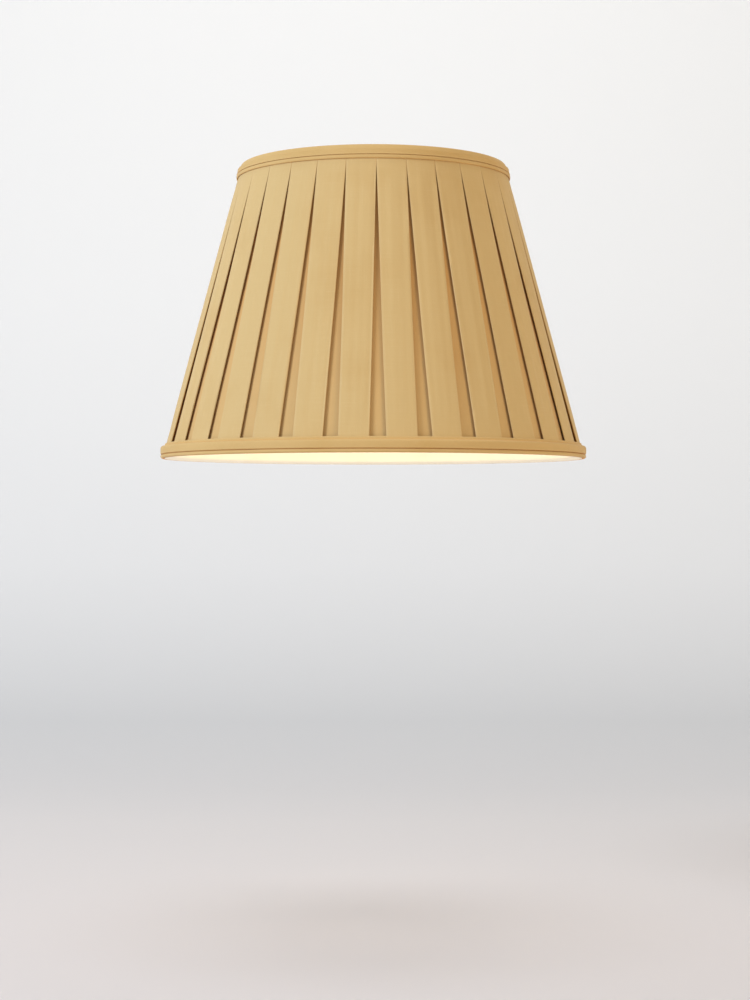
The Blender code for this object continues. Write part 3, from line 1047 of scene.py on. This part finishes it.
@dataclass
class BottomTrim(RimTrim):
    """Coved band that flares to the rim, over a round piping."""

    drop: float = 0.60 * MM
    hidden_edge: float = 4.9 * MM
    shelf: float = 2.2 * MM
    corner: float = 0.9 * MM
    knee: float = 1.9 * MM
    knee_rise: float = 4.4 * MM
    belly: float = 0.04 * MM
    hem: float = 2.9 * MM
    hem_out: float = 0.83 * MM
    hem_in: float = 0.35 * MM
    hem_start: float = 1.0 * MM
    knee_pull: tuple[float, float] = (-1.155 * MM, 0.96 * MM)
    hem_pull: float = 2.0 * MM
    cove_spans: int = 14
    ridge: float = 0.07 * MM
    ridge_width: float = 0.45 * MM
    ridge_edge: float = 0.04 * MM
    # painted shade in the cove, deepest midway down it
    cove_shade: float = -0.50
    cord_rise: float = 0.18 * MM
    cord_slack: float = 0.04 * MM

    def profile(self) -> Profile:
        """Section from the hidden lower edge, over the face, to the hem behind the top edge."""
        high = self.high - 2 * self.drop
        wall = self.layout.radius
        face = self.outer - self.cloth / 2
        lower = self.low + self.cloth / 2 - self.drop
        # The band's underside gets painted shade, which fades to paler round the lower corner onto the
        # face.
        points = with_values([(self.outer - self.hidden_edge, lower), (self.outer - self.shelf, lower)], -1.0)
        rounding = arc((face - self.corner, lower + self.corner), self.corner, -90, 0, 6)
        points += with_values(rounding, (-1.0, -0.9, -0.6, -0.2, 0.1, 0.3, 0.3))
        knee_height = self.low + self.knee_rise
        straight = knee_height - lower - self.corner
        for share in (0.25, 0.5, 0.75):
            bulge = self.belly * math.sin(math.pi * share)
            points.append((face + bulge, lower + self.corner + straight * share, 0.0))
        bend = arc((face - self.knee, knee_height), self.knee, 0, 50, 5)
        # The knee is made paler, a painted highlight where the band turns outward.
        points += with_values(bend, 0.25)
        join = high - self.hem_start
        start, end = Vector(bend[-1]), Vector((wall(join, -self.hem_out), join))
        first = start + Vector(self.knee_pull)
        second = end + Vector((self.layout.lean, -1.0)) * self.hem_pull
        for k in range(1, self.cove_spans + 1):
            t = k / self.cove_spans
            spot = start * (1 - t) ** 3 + first * 3 * t * (1 - t) ** 2
            spot += second * 3 * t * t * (1 - t) + end * t ** 3
            ridge = self.ridge * math.exp(-((spot.y - (high - self.hem)) / self.ridge_width) ** 2)
            # The cove gets painted shade, deepest midway down it; the hem ridge is made paler as a painted
            # highlight.
            press_and_shading = 0.25 if ridge > self.ridge_edge else self.cove_shade * math.sin(math.pi * t)
            points.append((spot.x + ridge, spot.y, press_and_shading))
        fold = (self.hem_out - self.hem_in) / 2
        top = high - fold
        # The fold at the band's top is made paler, partly pressed cloth and partly painted highlight.
        for k in range(1, 7):
            angle = math.pi * k / 6
            height = top + fold * math.sin(angle)
            points.append((wall(height, -(self.hem_in + fold + fold * math.cos(angle))), height, 0.8))
        hem = [top - self.hem * share for share in (0.3, 0.6, 0.85)]
        return points + with_values([(wall(height, -self.hem_in), height) for height in hem], 0.0)

    def free(self, height: float) -> float:
        """The pleats show only on the upper part."""
        covered = 4 * MM
        return smooth_step((height - self.low - covered) / (self.high - self.low - covered)) * 0.6

    def cord(self) -> Cord:
        """Round piping under the band."""
        half = (self.cord_high - self.cord_low) / 2 - self.cord_slack
        centre = (self.cord_outer - half, self.cord_high - self.drop + self.cord_rise - half)
        return Cord(centre, half, half)


@dataclass
class TopTrim(RimTrim):
    """Band that leans in over the top ring and turns in over the lining, above a flat piping."""

    rim: Rim = Rim.TOP
    fold: float = 0.27 * MM
    belly: float = 0.16 * MM
    corner: float = 1.75 * MM
    dish: float = 0.55 * MM
    inner_corner: float = 0.75 * MM
    hem_high: float = 4.2 * MM
    hem_step: float = 1.1 * MM
    hem_slack: float = 0.30 * MM
    face_start: float = 0.9 * MM
    face_end: float = 1.9 * MM
    face_spans: int = 8
    dish_spans: int = 7
    inner_depth: float = 11.07 * MM
    inner_fold: float = 0.21 * MM

    def profile(self) -> Profile:
        """Section from the hem behind the lower edge, over the top, to the hem inside."""
        low, high, fold, half = self.low, self.high, self.fold, self.cloth / 2
        section = polar("top_band")
        inner = min(radius for radius, _ in section)
        turn_low = min(height for radius, height in section if radius < inner + 3 * MM)
        shoulder = max(radius for radius, height in section if height > high - 0.1 * MM) - half
        wall = self.layout.radius
        face = self.outer - half
        behind = face - 2 * fold
        points = [
            (behind - self.hem_slack * (1 - k / 3), low + self.hem_high - self.hem_step * k, 0.0)
            for k in range(4)
        ]
        # The turned lower edge gets painted shade underneath, paler where it comes round onto the face.
        turned = arc((face - fold, low + half + fold), fold, 180, 360, 6)
        points += with_values(turned, (-1.0, -1.0, -1.0, -0.9, -0.4, 0.3, 0.6))
        lean = (face - shoulder) / (high - 1.6 * MM - low)
        rise = high - self.face_end - low - self.face_start
        for k in range(1, self.face_spans):
            climb = self.face_start + rise * k / self.face_spans
            bulge = self.belly * math.sin(math.pi * k / self.face_spans)
            points.append((face - climb * lean + bulge, low + climb, 0.0))
        corner = (shoulder - self.corner, high - half - self.corner)
        # The top corner is made paler, partly pressed cloth and partly painted highlight.
        points += with_values(arc(corner, self.corner, 14, 90, 8), 0.3)
        inside = wall(high, self.inner_depth - 0.02 * MM)
        span = corner[0] - inside - 1.0 * MM
        points += [
            (corner[0] - span * k / self.dish_spans,
             high - half - self.dish * smooth_step(k / self.dish_spans), 0.0)
            for k in range(1, self.dish_spans)
        ]
        turn = (inside + self.inner_corner, high - half - self.dish - self.inner_corner)
        # The inner corner and the fold at the hem inside are made paler the same way.
        points += with_values(arc(turn, self.inner_corner, 90, 172, 6), 0.3)
        for k in range(1, 5):
            height = turn[1] + (turn_low + 0.30 * MM - turn[1]) * k / 4
            points.append((wall(height, self.inner_depth), height, 0.0))
        bottom = turn_low + 0.22 * MM
        middle = (wall(bottom, self.inner_depth - self.inner_fold), bottom)
        points += with_values(arc(middle, self.inner_fold, 180, 360, 5)[1:], 0.6)
        hem = [bottom + up * MM for up in (0.8, 1.8, 2.6)]
        depth = self.inner_depth - 2 * self.inner_fold
        return points + with_values([(wall(height, depth), height) for height in hem], 0.0)

    def free(self, height: float) -> float:
        """The pleats hardly show under this band."""
        return 0.25 if height > self.low + 1 * MM else 0.1

    def cord(self) -> Cord:
        """Flat-backed piping that lies on the pleats."""
        half = (self.cord_high - self.cord_low) / 2
        depth = 1.25 * (self.cord_outer - self.layout.radius(self.cord_low, -0.12 * MM)) / 2
        return Cord((self.cord_outer - depth, self.cord_low + half), depth, half * 1.07, 0.35)


# ------------------------------------------------------------------ lining


@dataclass
class Lining:
    """Cream lining in two halves, rolled under the bottom ring and slit for the arms."""

    layout: Layout
    cloth: float = 0.34 * MM
    columns: int = 132
    rows: int = 44
    lip_spans: int = 4
    roll_spans: int = 8
    roll: float = 3.6 * MM
    foot_rise: float = 0.4 * MM
    lip_reach: float = 0.5 * MM
    lip_level: float = -0.16 * MM
    sag: float = 0.72 * MM
    ripple: float = 0.16 * MM
    pucker: float = 0.10 * MM
    pucker_rate: float = 420.0
    pucker_reach: float = 4 * MM
    held_share: float = 0.12
    seam_turn: float = 1.4 * MM
    seam_gap: float = 0.10 * MM
    slit_half: float = 2.3 * MM
    slit_depth: float = 8.3 * MM
    slit_from: float = 0.72
    arms: int = 3

    def __post_init__(self) -> None:
        """Read the lining's place and draw its waves."""
        _, self.foot_edge, self.low, self.high = turned_size("lining_front")
        rim = [radius for radius, height in polar("lining_front") if height > self.high - self.layout.near]
        face = self.layout.radius(self.high)
        self.inset = sum((face - radius) / self.layout.stretch for radius in (max(rim), min(rim))) / 2
        self.head_radius = self.layout.radius(self.high, self.inset)
        self.roll_end = self.lip_spans + self.roll_spans
        self.side_seam = self.layout.frame_turn + math.pi / 3
        draw = np.random.default_rng(23)
        self.waves = [
            (int(draw.integers(9, 46)), draw.uniform(0, math.tau), draw.uniform(-2, 2)) for _ in range(9)
        ]

    def line(self) -> Profile:
        """Section of the lining as (radius, height, how free it is), from the foot to the top."""
        wall = self.layout.radius
        foot = self.low + self.foot_rise
        centre = (wall(foot + self.roll, self.inset) + self.roll, foot + self.roll)
        lip = (self.foot_edge + self.lip_reach, self.lip_level)
        points: Profile = []
        for k in range(self.lip_spans + 1):
            share = k / self.lip_spans
            rise = (foot - lip[1]) * smooth_step(share)
            points.append((lip[0] + (centre[0] - lip[0]) * share, lip[1] + rise, 0.0))
        points += with_values(arc(centre, self.roll, -90, -166, self.roll_spans)[1:], 0.0)
        radius, start, _ = points[-1]
        for k in range(1, self.rows + 1):
            share = k / self.rows
            height = start + (self.high - start) * share
            sag = self.sag * math.sin(math.pi * share) ** 0.8 if share < 1 else 0.0
            join = (radius - wall(start, self.inset)) * max(1 - 3 * share, 0.0) ** 2
            free = smooth_step(share / self.held_share) * smooth_step((1 - share) / self.held_share)
            points.append((wall(height, self.inset) + join + sag, height, free))
        return points

    @staticmethod
    def normal(line: Profile, row: int) -> Vector:
        """Direction that points from the lining towards the frame, at a row of its section."""
        before, after = line[max(row - 1, 0)], line[min(row + 1, len(line) - 1)]
        way = Vector((after[0] - before[0], after[1] - before[1])).normalized()
        return Vector((way.y, -way.x))

    def azimuths(self, start: float) -> list[float]:
        """Columns of a half, closer together at the slits."""
        steady = [start + math.pi * k / self.columns for k in range(self.columns + 1)]
        near = self.slit_half * 2.2 / self.head_radius
        extra = []
        for index in range(self.arms):
            middle = start + (self.layout.arm_azimuth(index) - start) % math.tau
            if start < middle < start + math.pi:
                steady = [azimuth for azimuth in steady if abs(azimuth - middle) > near]
                extra.append(middle)
                for share in (0.2, 0.38, 0.44, 0.49, 0.56, 0.7, 0.9):
                    extra += [middle - near * share, middle + near * share]
        return sorted(steady + extra)

    def slit(self, azimuth: float) -> float:
        """How far the top edge dips at an azimuth, for an arm."""
        arms = [self.layout.arm_azimuth(index) for index in range(self.arms)]
        side = min(abs(apart(azimuth, arm)) for arm in arms) * self.head_radius / self.slit_half
        return self.slit_depth * (1 - smooth_step((side - 0.86) / 0.24))

    def half(self, name: str, start: float) -> bpy.types.Object:
        """Make one half, whose edges are turned towards the frame at the side seams.

        Args:
            name: the piece's name.
            start: azimuth of its first seam.

        Returns:
            The half.
        """
        line = self.line()
        steady = self.azimuths(start)
        steady[0] += self.seam_gap / self.head_radius
        steady[-1] -= self.seam_gap / self.head_radius
        turns = (self.seam_turn, self.seam_turn / 2)
        columns = [(steady[0], turn) for turn in turns] + [(azimuth, 0.0) for azimuth in steady]
        columns += [(steady[-1], turn) for turn in reversed(turns)]
        dips = [self.slit(azimuth) for azimuth, _ in columns]
        cloth = Cloth(name)
        base = line[self.roll_end][1]
        for row, ((radius, height, free), run) in enumerate(zip(line, runs_along(line))):
            out_way = self.normal(line, row)
            share = (height - base) / (self.high - base)
            ease = smooth_step((share - self.slit_from) / (1 - self.slit_from))
            points, flat, press_and_shading = [], [], []
            for (azimuth, out), dip in zip(columns, dips):
                level = height + (base + (self.high - dip - base) * share - height) * ease
                waves = [math.sin(n * azimuth + phase + bend * height * 4) for n, phase, bend in self.waves]
                seam = min(abs(azimuth - steady[0]), abs(azimuth - steady[-1])) * radius
                pucker = self.pucker * math.cos(height * self.pucker_rate)
                pucker *= math.exp(-seam / self.pucker_reach)
                push = free * (self.ripple * sum(waves) / 3 + pucker) + out
                lean = (height - level) * self.layout.lean
                points.append(around(azimuth, radius + lean + out_way.x * push, level + out_way.y * push))
                flat.append(((azimuth - start) * radius + out, run))
                press_and_shading.append(0.8 if out else 0.3 * math.exp(-seam / (1.2 * MM)))
            cloth.add_row(points, flat, press_and_shading)
        return cloth.made(self.cloth)

    def build(self, finish: bpy.types.Material) -> None:
        """Build both halves and dress them."""
        depth = runs_along(self.line())[-1]
        length = math.pi * self.foot_edge + 2 * self.seam_turn
        area = depth * math.pi * (self.foot_edge + self.head_radius) / 2
        for side, start in (("front", self.side_seam - math.pi), ("back", self.side_seam)):
            piece = self.half(f"lining_half_{side}", start)
            dress(piece, finish, Slot.LINING, Body.SHADE, f"lining_{side}")


# ------------------------------------------------------------------ wire frame


class ArmRoute:
    """Centre line of a drop arm: down and in from the top ring, then level to the yoke."""

    wire: float = 3.0 * MM
    bend_share: float = 0.7

    def __init__(self, layout: Layout) -> None:
        """Read the ends from the frame."""
        inner, _, low, high = turned_size("top_ring")
        ring = Vector(((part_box("top_ring")[1].x + inner) / 2, (low + high) / 2))
        self.heading = Vector((-math.sqrt(0.5), -math.sqrt(0.5)))
        self.start = ring + self.heading * ((high - low) / 2)
        self.end = Vector((turned_size("gimbal_yoke")[1], layout.pivot))
        self.corner = self.start + self.heading * ((self.start.y - self.end.y) / -self.heading.y)
        self.tangent = (self.corner.x - self.end.x) * self.bend_share

    def nearest(self, place: Vector) -> Vector:
        """Point of the sloping run that is nearest to a place."""
        return self.start + self.heading * (place - self.start).dot(self.heading)


@dataclass
class ArmCollars:
    """A strip of lining wrapped round each arm where it leaves the lining."""

    layout: Layout
    lining: Lining
    route: ArmRoute
    cloth: float = 0.36 * MM
    length: float = 11.5 * MM
    flare: float = 1.9 * MM
    stand_off: float = 0.12 * MM
    foot_height: float = 239.5 * MM
    foot_inset: float = 0.9 * MM
    lap_start: float = -86.0
    lap_turn: float = 352.0
    wraps: int = 28
    spans: int = 14

    def collar(self, index: int) -> bpy.types.Object:
        """Wrap the collar of one arm."""
        azimuth = self.layout.arm_azimuth(index)
        foot_radius = self.layout.radius(self.foot_height, self.lining.inset + self.foot_inset)
        foot = self.route.nearest(Vector((foot_radius, self.foot_height)))
        along = around(azimuth, self.route.heading.x, self.route.heading.y)
        across = around(azimuth + math.pi / 2, 1.0, 0.0)
        over = across.cross(along)
        over = -over if over.z < 0 else over
        cloth = Cloth(f"arm_collar_{index + 1}")
        for row in range(self.spans + 1):
            share = row / self.spans
            flare = self.flare * (1 - smooth_step(share / 0.30)) + 0.10 * MM * math.sin(9 * share)
            spot = around(azimuth, foot.x, foot.y) + along * (self.length * share)
            points, flat = [], []
            for k in range(self.wraps + 1):
                angle = math.radians(self.lap_start + self.lap_turn * k / self.wraps)
                radius = self.tube + flare + 0.05 * MM * math.sin(5 * angle + index)
                points.append(spot + (across * math.cos(angle) + over * math.sin(angle)) * radius)
                flat.append((angle * self.tube, self.length * share))
            hem = 0.7 if row in (0, self.spans) else 0.0
            cloth.add_row(points, flat, [hem] * (self.wraps + 1))
        return cloth.made(self.cloth)

    @property
    def tube(self) -> float:
        """Radius of the collar's mid-surface round the arm."""
        return self.route.wire / 2 + self.stand_off + self.cloth / 2

    def build(self, finish: bpy.types.Material) -> None:
        """Build the collars and dress them."""
        for index in range(self.lining.arms):
            piece = self.collar(index)
            dress(piece, finish, Slot.LINING, Body.SHADE, f"arm_tab_{index + 1}")


@dataclass
class TapeBinding:
    """Tape wound round the outer half of a ring, lapped as it goes."""

    rim: Rim
    first: float
    cloth: float = 0.30 * MM
    stand_off: float = 0.45 * MM
    lap: float = 0.22 * MM
    width: float = 10.0 * MM
    wraps: int = 150
    columns: int = 450
    spans: int = 12

    def build(self, finish: bpy.types.Material) -> None:
        """Wind the tape, from its first angle half way round the wire, and dress it."""
        rim = self.rim.value
        inner, outer, low, high = turned_size(f"{rim}_ring")
        middle = Vector(((inner + outer) / 2, (low + high) / 2))
        reach = (high - low) / 2 + self.stand_off + self.cloth / 2
        cloth = Cloth(f"{rim}_tape_binding", wrap=True)
        for row in range(self.spans + 1):
            angle = math.radians(self.first + 180 * row / self.spans)
            points, flat = [], []
            for column in range(self.columns):
                azimuth = math.tau * column / self.columns
                out = reach + self.lap * ((azimuth * self.wraps / math.tau + angle / math.tau) % 1.0)
                spot = middle + Vector((math.cos(angle), math.sin(angle))) * out
                points.append(around(azimuth, spot.x, spot.y))
                flat.append((azimuth * middle.x, angle * reach))
            cloth.add_row(points, flat, [0.0] * self.columns)
        piece = cloth.made(self.cloth, 60.0)
        dress(piece, finish, Slot.TAPE, Body.SHADE, f"{rim}_ring_tape")
        length = math.tau * middle.x * math.pi * reach / self.width


@dataclass
class WireFrame:
    """Rings, struts and drop arms, with their weld beads and the tape on both rings."""

    layout: Layout
    route: ArmRoute
    struts: int = 6
    arms: int = 3
    butt_weld: float = 1.06
    butt_swell: float = 0.22
    butt_reach: float = 1.6 * MM
    strut_bead: float = 2.1 * MM
    strut_step: float = 0.5 * MM
    strut_swells: tuple[float, ...] = (0.86, 0.86, 0.95)
    arm_bead: float = 2.2 * MM
    arm_step: float = 0.6 * MM
    arm_swells: tuple[float, ...] = (0.88, 0.86, 0.9)
    arm_sink: float = 0.1 * MM

    def build(self, finish: bpy.types.Material, tape: bpy.types.Material) -> None:
        """Build the frame and dress it."""
        for rim, first in ((Rim.TOP, -10.0), (Rim.BOTTOM, 170.0)):
            self.ring(rim, finish)
            TapeBinding(rim, first).build(tape)
        for index in range(self.struts):
            self.strut(index, finish)
        for index in range(self.arms):
            self.arm(index, finish)

    def ring(self, rim: Rim, finish: bpy.types.Material) -> None:
        """Make a wire ring with its butt weld."""
        node = f"{rim.value}_ring"
        inner, outer, low, high = turned_size(node)
        middle, level = (inner + outer) / 2, (low + high) / 2
        bpy.ops.object.select_all(action="DESELECT")
        bpy.ops.mesh.primitive_torus_add(
            major_radius=middle, minor_radius=(high - low) / math.sqrt(3), major_segments=180,
            minor_segments=14, location=(0.0, 0.0, level),
        )
        piece = settle(bpy.context.object, f"{rim.value}_wire_ring")
        weld = self.layout.frame_turn + math.pi * self.butt_weld
        for vertex in piece.data.vertices:
            azimuth = math.atan2(vertex.co.x, -vertex.co.y)
            off = apart(azimuth, weld) * middle
            core = around(azimuth, middle, level)
            swell = self.butt_swell * math.exp(-((off / self.butt_reach) ** 2))
            vertex.co = core + (vertex.co - core) * (1 + swell)
        smoothed(piece, 60.0)
        dress(piece, finish, Slot.WIRE, Body.SHADE, node)

    def strut(self, index: int, finish: bpy.types.Material) -> None:
        """Make a strut with a bead where it meets each ring."""
        azimuth = self.layout.strut_azimuth(index)
        ends = []
        for rim in (Rim.BOTTOM, Rim.TOP):
            inner, outer, low, high = turned_size(f"{rim.value}_ring")
            ends.append(around(azimuth, (inner + outer) / 2, (low + high) / 2))
        foot, head = ends
        way = (head - foot).normalized()
        _, _, low, high = turned_size("bottom_ring")
        reach = way * ((high - low) / 2) * 0.96
        run = (head - foot).length - 2 * reach.length
        steps = (self.strut_step,) * 3
        Bench.wire(foot + reach, way, self.strut_bead)
        Bench.bead(way, steps, self.strut_swells)
        Bench.draw(way * (run - 2 * sum(steps)))
        Bench.bead(way, steps, [1 / swell for swell in reversed(self.strut_swells)])
        piece = Bench.cap(f"frame_strut_{index + 1}")
        dress(piece, finish, Slot.WIRE, Body.SHADE, f"strut_{index + 1}")

    def arm(self, index: int, finish: bpy.types.Material) -> None:
        """Bend one drop arm, with a bead at each end."""
        route = self.route
        out = around(self.layout.arm_azimuth(index), 1.0, 0.0)

        def place(point: Vector) -> Vector:
            """Place of a (radius, height) point in the arm's plane."""
            return out * point.x + Vector((0.0, 0.0, point.y))

        slope, level = place(route.heading), -out
        bend_in = route.corner - route.heading * route.tangent
        radius = route.tangent / math.tan(math.radians(22.5))
        centre = bend_in + Vector((route.heading.y, -route.heading.x)) * radius
        steps = (self.arm_step,) * 3
        Bench.wire(place(route.start - route.heading * self.arm_sink), slope, self.arm_bead)
        Bench.bead(slope, steps, self.arm_swells)
        Bench.draw(slope * ((bend_in - route.start).length - sum(steps) + self.arm_sink))
        axis = slope.cross(level).normalized()
        bpy.ops.mesh.spin(steps=14, angle=math.radians(-45), center=place(centre), axis=axis)
        Bench.draw(level * (route.corner.x - route.tangent - route.end.x - sum(steps)))
        steps = (self.arm_step, self.arm_step, self.arm_step + 0.05 * MM)
        Bench.bead(level, steps, [1 / swell for swell in reversed(self.arm_swells)])
        piece = Bench.cap(f"drop_arm_{index + 1}")
        dress(piece, finish, Slot.WIRE, Body.SHADE, f"spider_arm_{index + 1}")


# ------------------------------------------------------------------ gimbal


@dataclass
class Gimbal:
    """Outer ring, tilting ring, pivot rivets and the plastic adaptor."""

    layout: Layout
    steps: int = 96
    edge: float = 0.35 * MM
    plastic_edge: float = 0.25 * MM
    hole: float = 1.8 * MM
    wall: float = 1.5 * MM
    plate: float = 2.0 * MM
    corner: float = 1.0 * MM
    inner_corner: float = 0.5 * MM
    shank: float = 1.5 * MM
    head_depth: float = 1.1 * MM
    head_chamfer: float = 0.3 * MM
    head_flat: float = 0.82
    dome_share: float = 0.72

    def build(self, plated: bpy.types.Material, plastic: bpy.types.Material) -> None:
        """Build the fitting and dress it."""
        inner, outer, low, high = turned_size("gimbal_yoke")
        outline = [(outer, high), (inner, high), (inner, low), (outer, low)]
        dress(self.pivoted("yoke_ring", outline, outer), plated, Slot.PLATED, Body.SHADE, "gimbal_yoke")
        outline, outer = self.cup()
        dress(self.pivoted("tilting_ring", outline, outer), plated, Slot.PLATED, Body.GIMBAL, "gimbal_ring")
        dress(self.adaptor(), plastic, Slot.PLASTIC, Body.GIMBAL, "reducer_ring")
        for side, name in ((-1, "front"), (1, "back")):
            pin = self.rivet(f"pivot_pin_{name}", f"pivot_rivet_{name}", side)
            dress(pin, plated, Slot.PLATED, Body.GIMBAL, f"pivot_rivet_{name}")

    def pivoted(self, name: str, outline: Outline, outer: float) -> bpy.types.Object:
        """Turn a ring, bore its two pivot holes and round its edges."""
        ring = Bench.turned(name, outline, self.steps)
        Bench.bored(ring, self.hole, 2 * outer, self.layout.pivot)
        Bench.rounded(ring, self.edge)
        return ring

    def cup(self) -> tuple[Outline, float]:
        """Outline of the tilting ring, a plate with a rim, and its outer radius."""
        bore, outer, low, high = turned_size("gimbal_ring")
        rim, floor = outer - self.wall, low + self.plate
        outline = [(bore, low)]
        outline += arc((outer - self.corner, low + self.corner), self.corner, -90, 0, 6)
        outline += [(outer, high), (rim, high)]
        outline += arc((rim - self.inner_corner, floor + self.inner_corner), self.inner_corner, 0, -90, 4)
        return outline + [(bore, floor)], outer

    def adaptor(self) -> bpy.types.Object:
        """Turn the plastic ring that narrows the hole, with its plug below its flange."""
        bore, flange, low, high = turned_size("reducer_ring")
        section = polar("reducer_ring")
        plug = max(radius for radius, height in section if height < low + 0.1 * MM)
        seat = min(height for radius, height in section if radius > plug + 1 * MM)
        chamfer, lead = 0.3 * MM, 0.5 * MM
        outline = [(bore, low + chamfer), (bore + chamfer, low), (plug - lead, low), (plug, low + lead)]
        outline += [(plug, seat), (flange, seat), (flange, high), (bore, high)]
        adaptor = Bench.turned("adaptor_ring", outline, self.steps)
        Bench.rounded(adaptor, self.plastic_edge)
        return adaptor

    def rivet(self, name: str, node: str, side: int) -> bpy.types.Object:
        """Turn a pivot rivet, domed on the outside and set over inside.

        Args:
            name: the piece's name.
            node: the CAD node that gives its ends.
            side: -1 for the front and 1 for the back.

        Returns:
            The rivet.
        """
        low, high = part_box(node)
        head = (high.z - low.z) / 2
        near, far = sorted((abs(low.y), abs(high.y)))
        dome = self.head_depth * self.dome_share
        under, over = near + self.head_depth, far - self.head_depth
        outline = [(0.0, near), (head * self.head_flat, near), (head, near + self.head_chamfer)]
        outline += [(head, under), (self.shank, under), (self.shank, over), (head, over)]
        for angle in (math.radians(18 * k) for k in range(5)):
            outline.append((head * math.cos(angle), far - dome + dome * math.sin(angle)))
        outline += [(0.0, far)]
        outline = [(radius, side * run) for radius, run in outline]
        return Bench.turned(name, outline, 32, Axis.Y, self.layout.pivot)


# ------------------------------------------------------------------ studio


def hang(name: str, kind: str, watts: float, colour: Colour, place: Sequence[float],
         **settings: Any) -> bpy.types.Object:
    """Hang a light.

    Args:
        name: the light's name.
        kind: its kind.
        watts: its power.
        colour: its colour.
        place: where it hangs.
        settings: other settings of the light.

    Returns:
        The light.
    """
    data = bpy.data.lights.new(name, kind)
    data.energy = watts
    data.color = colour
    for setting, value in settings.items():
        setattr(data, setting, value)
    light = bpy.data.objects.new(name, data)
    light.location = place
    bpy.context.scene.collection.objects.link(light)
    return light


@dataclass(frozen=True)
class SoftBox:
    """A square light that looks at a place."""

    name: str
    place: tuple[float, float, float]
    aim: tuple[float, float, float]
    size: float
    watts: float
    colour: Colour

    def build(self) -> None:
        """Hang the light and aim it."""
        light = hang(self.name, "AREA", self.watts, self.colour, self.place, shape="SQUARE", size=self.size)
        way = Vector(self.aim) - Vector(self.place)
        light.rotation_euler = way.to_track_quat("-Z", "Y").to_euler()


SOFT_BOXES = (
    SoftBox("key_softbox", (-2.75, -1.7, 1.5), (0.0, 0.0, 0.1), 1.3, 86.0, (0.84, 0.92, 1.02)),
    SoftBox("fill_softbox", (2.7, -2.1, 0.5), (0.0, 0.0, 0.1), 1.6, 41.0, (1.0, 0.79, 0.49)),
    SoftBox("backdrop_wash", (0.0, 0.6, 3.6), (0.0, 3.2, 1.0), 2.5, 58.0, (1.0, 1.0, 0.99)),
)


@dataclass(frozen=True)
class WarmLamp:
    """A warm light on the shade's axis that shines only upwards."""

    height: float = -0.05
    spread: float = 178.0
    watts: float = 0.72
    colour: Colour = (1.0, 0.83, 0.60)

    def build(self) -> None:
        """Hang the lamp, out of the camera's sight."""
        lamp = hang(
            "warm_lamp", "SPOT", self.watts, self.colour, (0.0, 0.0, self.height),
            shadow_soft_size=0.03, spot_size=math.radians(self.spread), spot_blend=0.1,
        )
        lamp.rotation_euler = (math.pi, 0.0, 0.0)
        lamp.visible_camera = False


@dataclass
class Studio:
    """Pale floor that sweeps up into a backdrop, soft lights and the camera."""

    floor_level: float = -0.395
    sweep_start: float = 0.9
    sweep_radius: float = 2.4
    half_width: float = 6.0
    front: float = -6.0
    top: float = 6.5
    lens: float = 75.8
    eye: tuple[float, float, float] = (0.0014, -1.789, -0.052)
    pitch: float = 90.54
    sky: float = 0.33

    def camera(self) -> None:
        """Set up the camera a little below the rim."""
        data = bpy.data.cameras.new("studio_camera")
        data.lens = self.lens
        camera = bpy.data.objects.new("studio_camera", data)
        camera.location = self.eye
        camera.rotation_euler = (math.radians(self.pitch), 0.0, 0.0)
        bpy.context.scene.collection.objects.link(camera)
        bpy.context.scene.camera = camera

    def sweep(self) -> None:
        """Build the floor and backdrop in one piece."""
        line = [(self.front, self.floor_level), (self.sweep_start, self.floor_level)]
        centre = (self.sweep_start, self.floor_level + self.sweep_radius)
        line += arc(centre, self.sweep_radius, -90, 0, 24)[1:]
        line.append((self.sweep_start + self.sweep_radius, self.top))
        points = [(x, y, z) for x in (-self.half_width, self.half_width) for y, z in line]
        count = len(line)
        faces = [(k, count + k, count + k + 1, k + 1) for k in range(count - 1)]
        mesh = bpy.data.meshes.new("studio_sweep")
        mesh.from_pydata(points, [], faces)
        mesh.shade_smooth()
        floor = bpy.data.objects.new("studio_sweep", mesh)
        bpy.context.scene.collection.objects.link(floor)
        mesh.materials.append(SWEEP_PAINT_AND_SHADE.material())

    def light(self) -> None:
        """Hang the lights and set the sky's soft grey."""
        for lamp in (*SOFT_BOXES, WarmLamp()):
            lamp.build()
        world = bpy.data.worlds.new("studio_grey")
        world.use_nodes = True
        sky = world.node_tree.nodes["Background"]
        sky.inputs["Color"].default_value = (1.0, 1.0, 1.0, 1.0)
        sky.inputs["Strength"].default_value = self.sky
        bpy.context.scene.world = world
        bpy.context.scene.view_settings.view_transform = "Standard"

    def build(self) -> None:
        """Build the studio."""
        self.camera()
        self.sweep()
        self.light()


# ------------------------------------------------------------------ whole shade


def main() -> None:
    """Build the studio and every piece of the shade, outside first."""
    logging.basicConfig(level=logging.INFO, format="%(name)s: %(message)s")
    Studio().build()
    layout = Layout()
    ochre, bias = OCHRE.material(), OCHRE_BIAS_SHADED.material()
    cream, tape = CREAM.material(), TAPE.material()
    wire, nickel = PowderCoat().material(), NickelPlate().material()
    PleatedCover(layout).build(ochre)
    BottomTrim(layout).build(bias)
    TopTrim(layout).build(bias)
    lining = Lining(layout)
    lining.build(cream)
    route = ArmRoute(layout)
    ArmCollars(layout, lining, route).build(cream)
    WireFrame(layout, route).build(wire, tape)
    Gimbal(layout).build(nickel, MouldedPlastic().material())


if __name__ == "__main__":
    main()
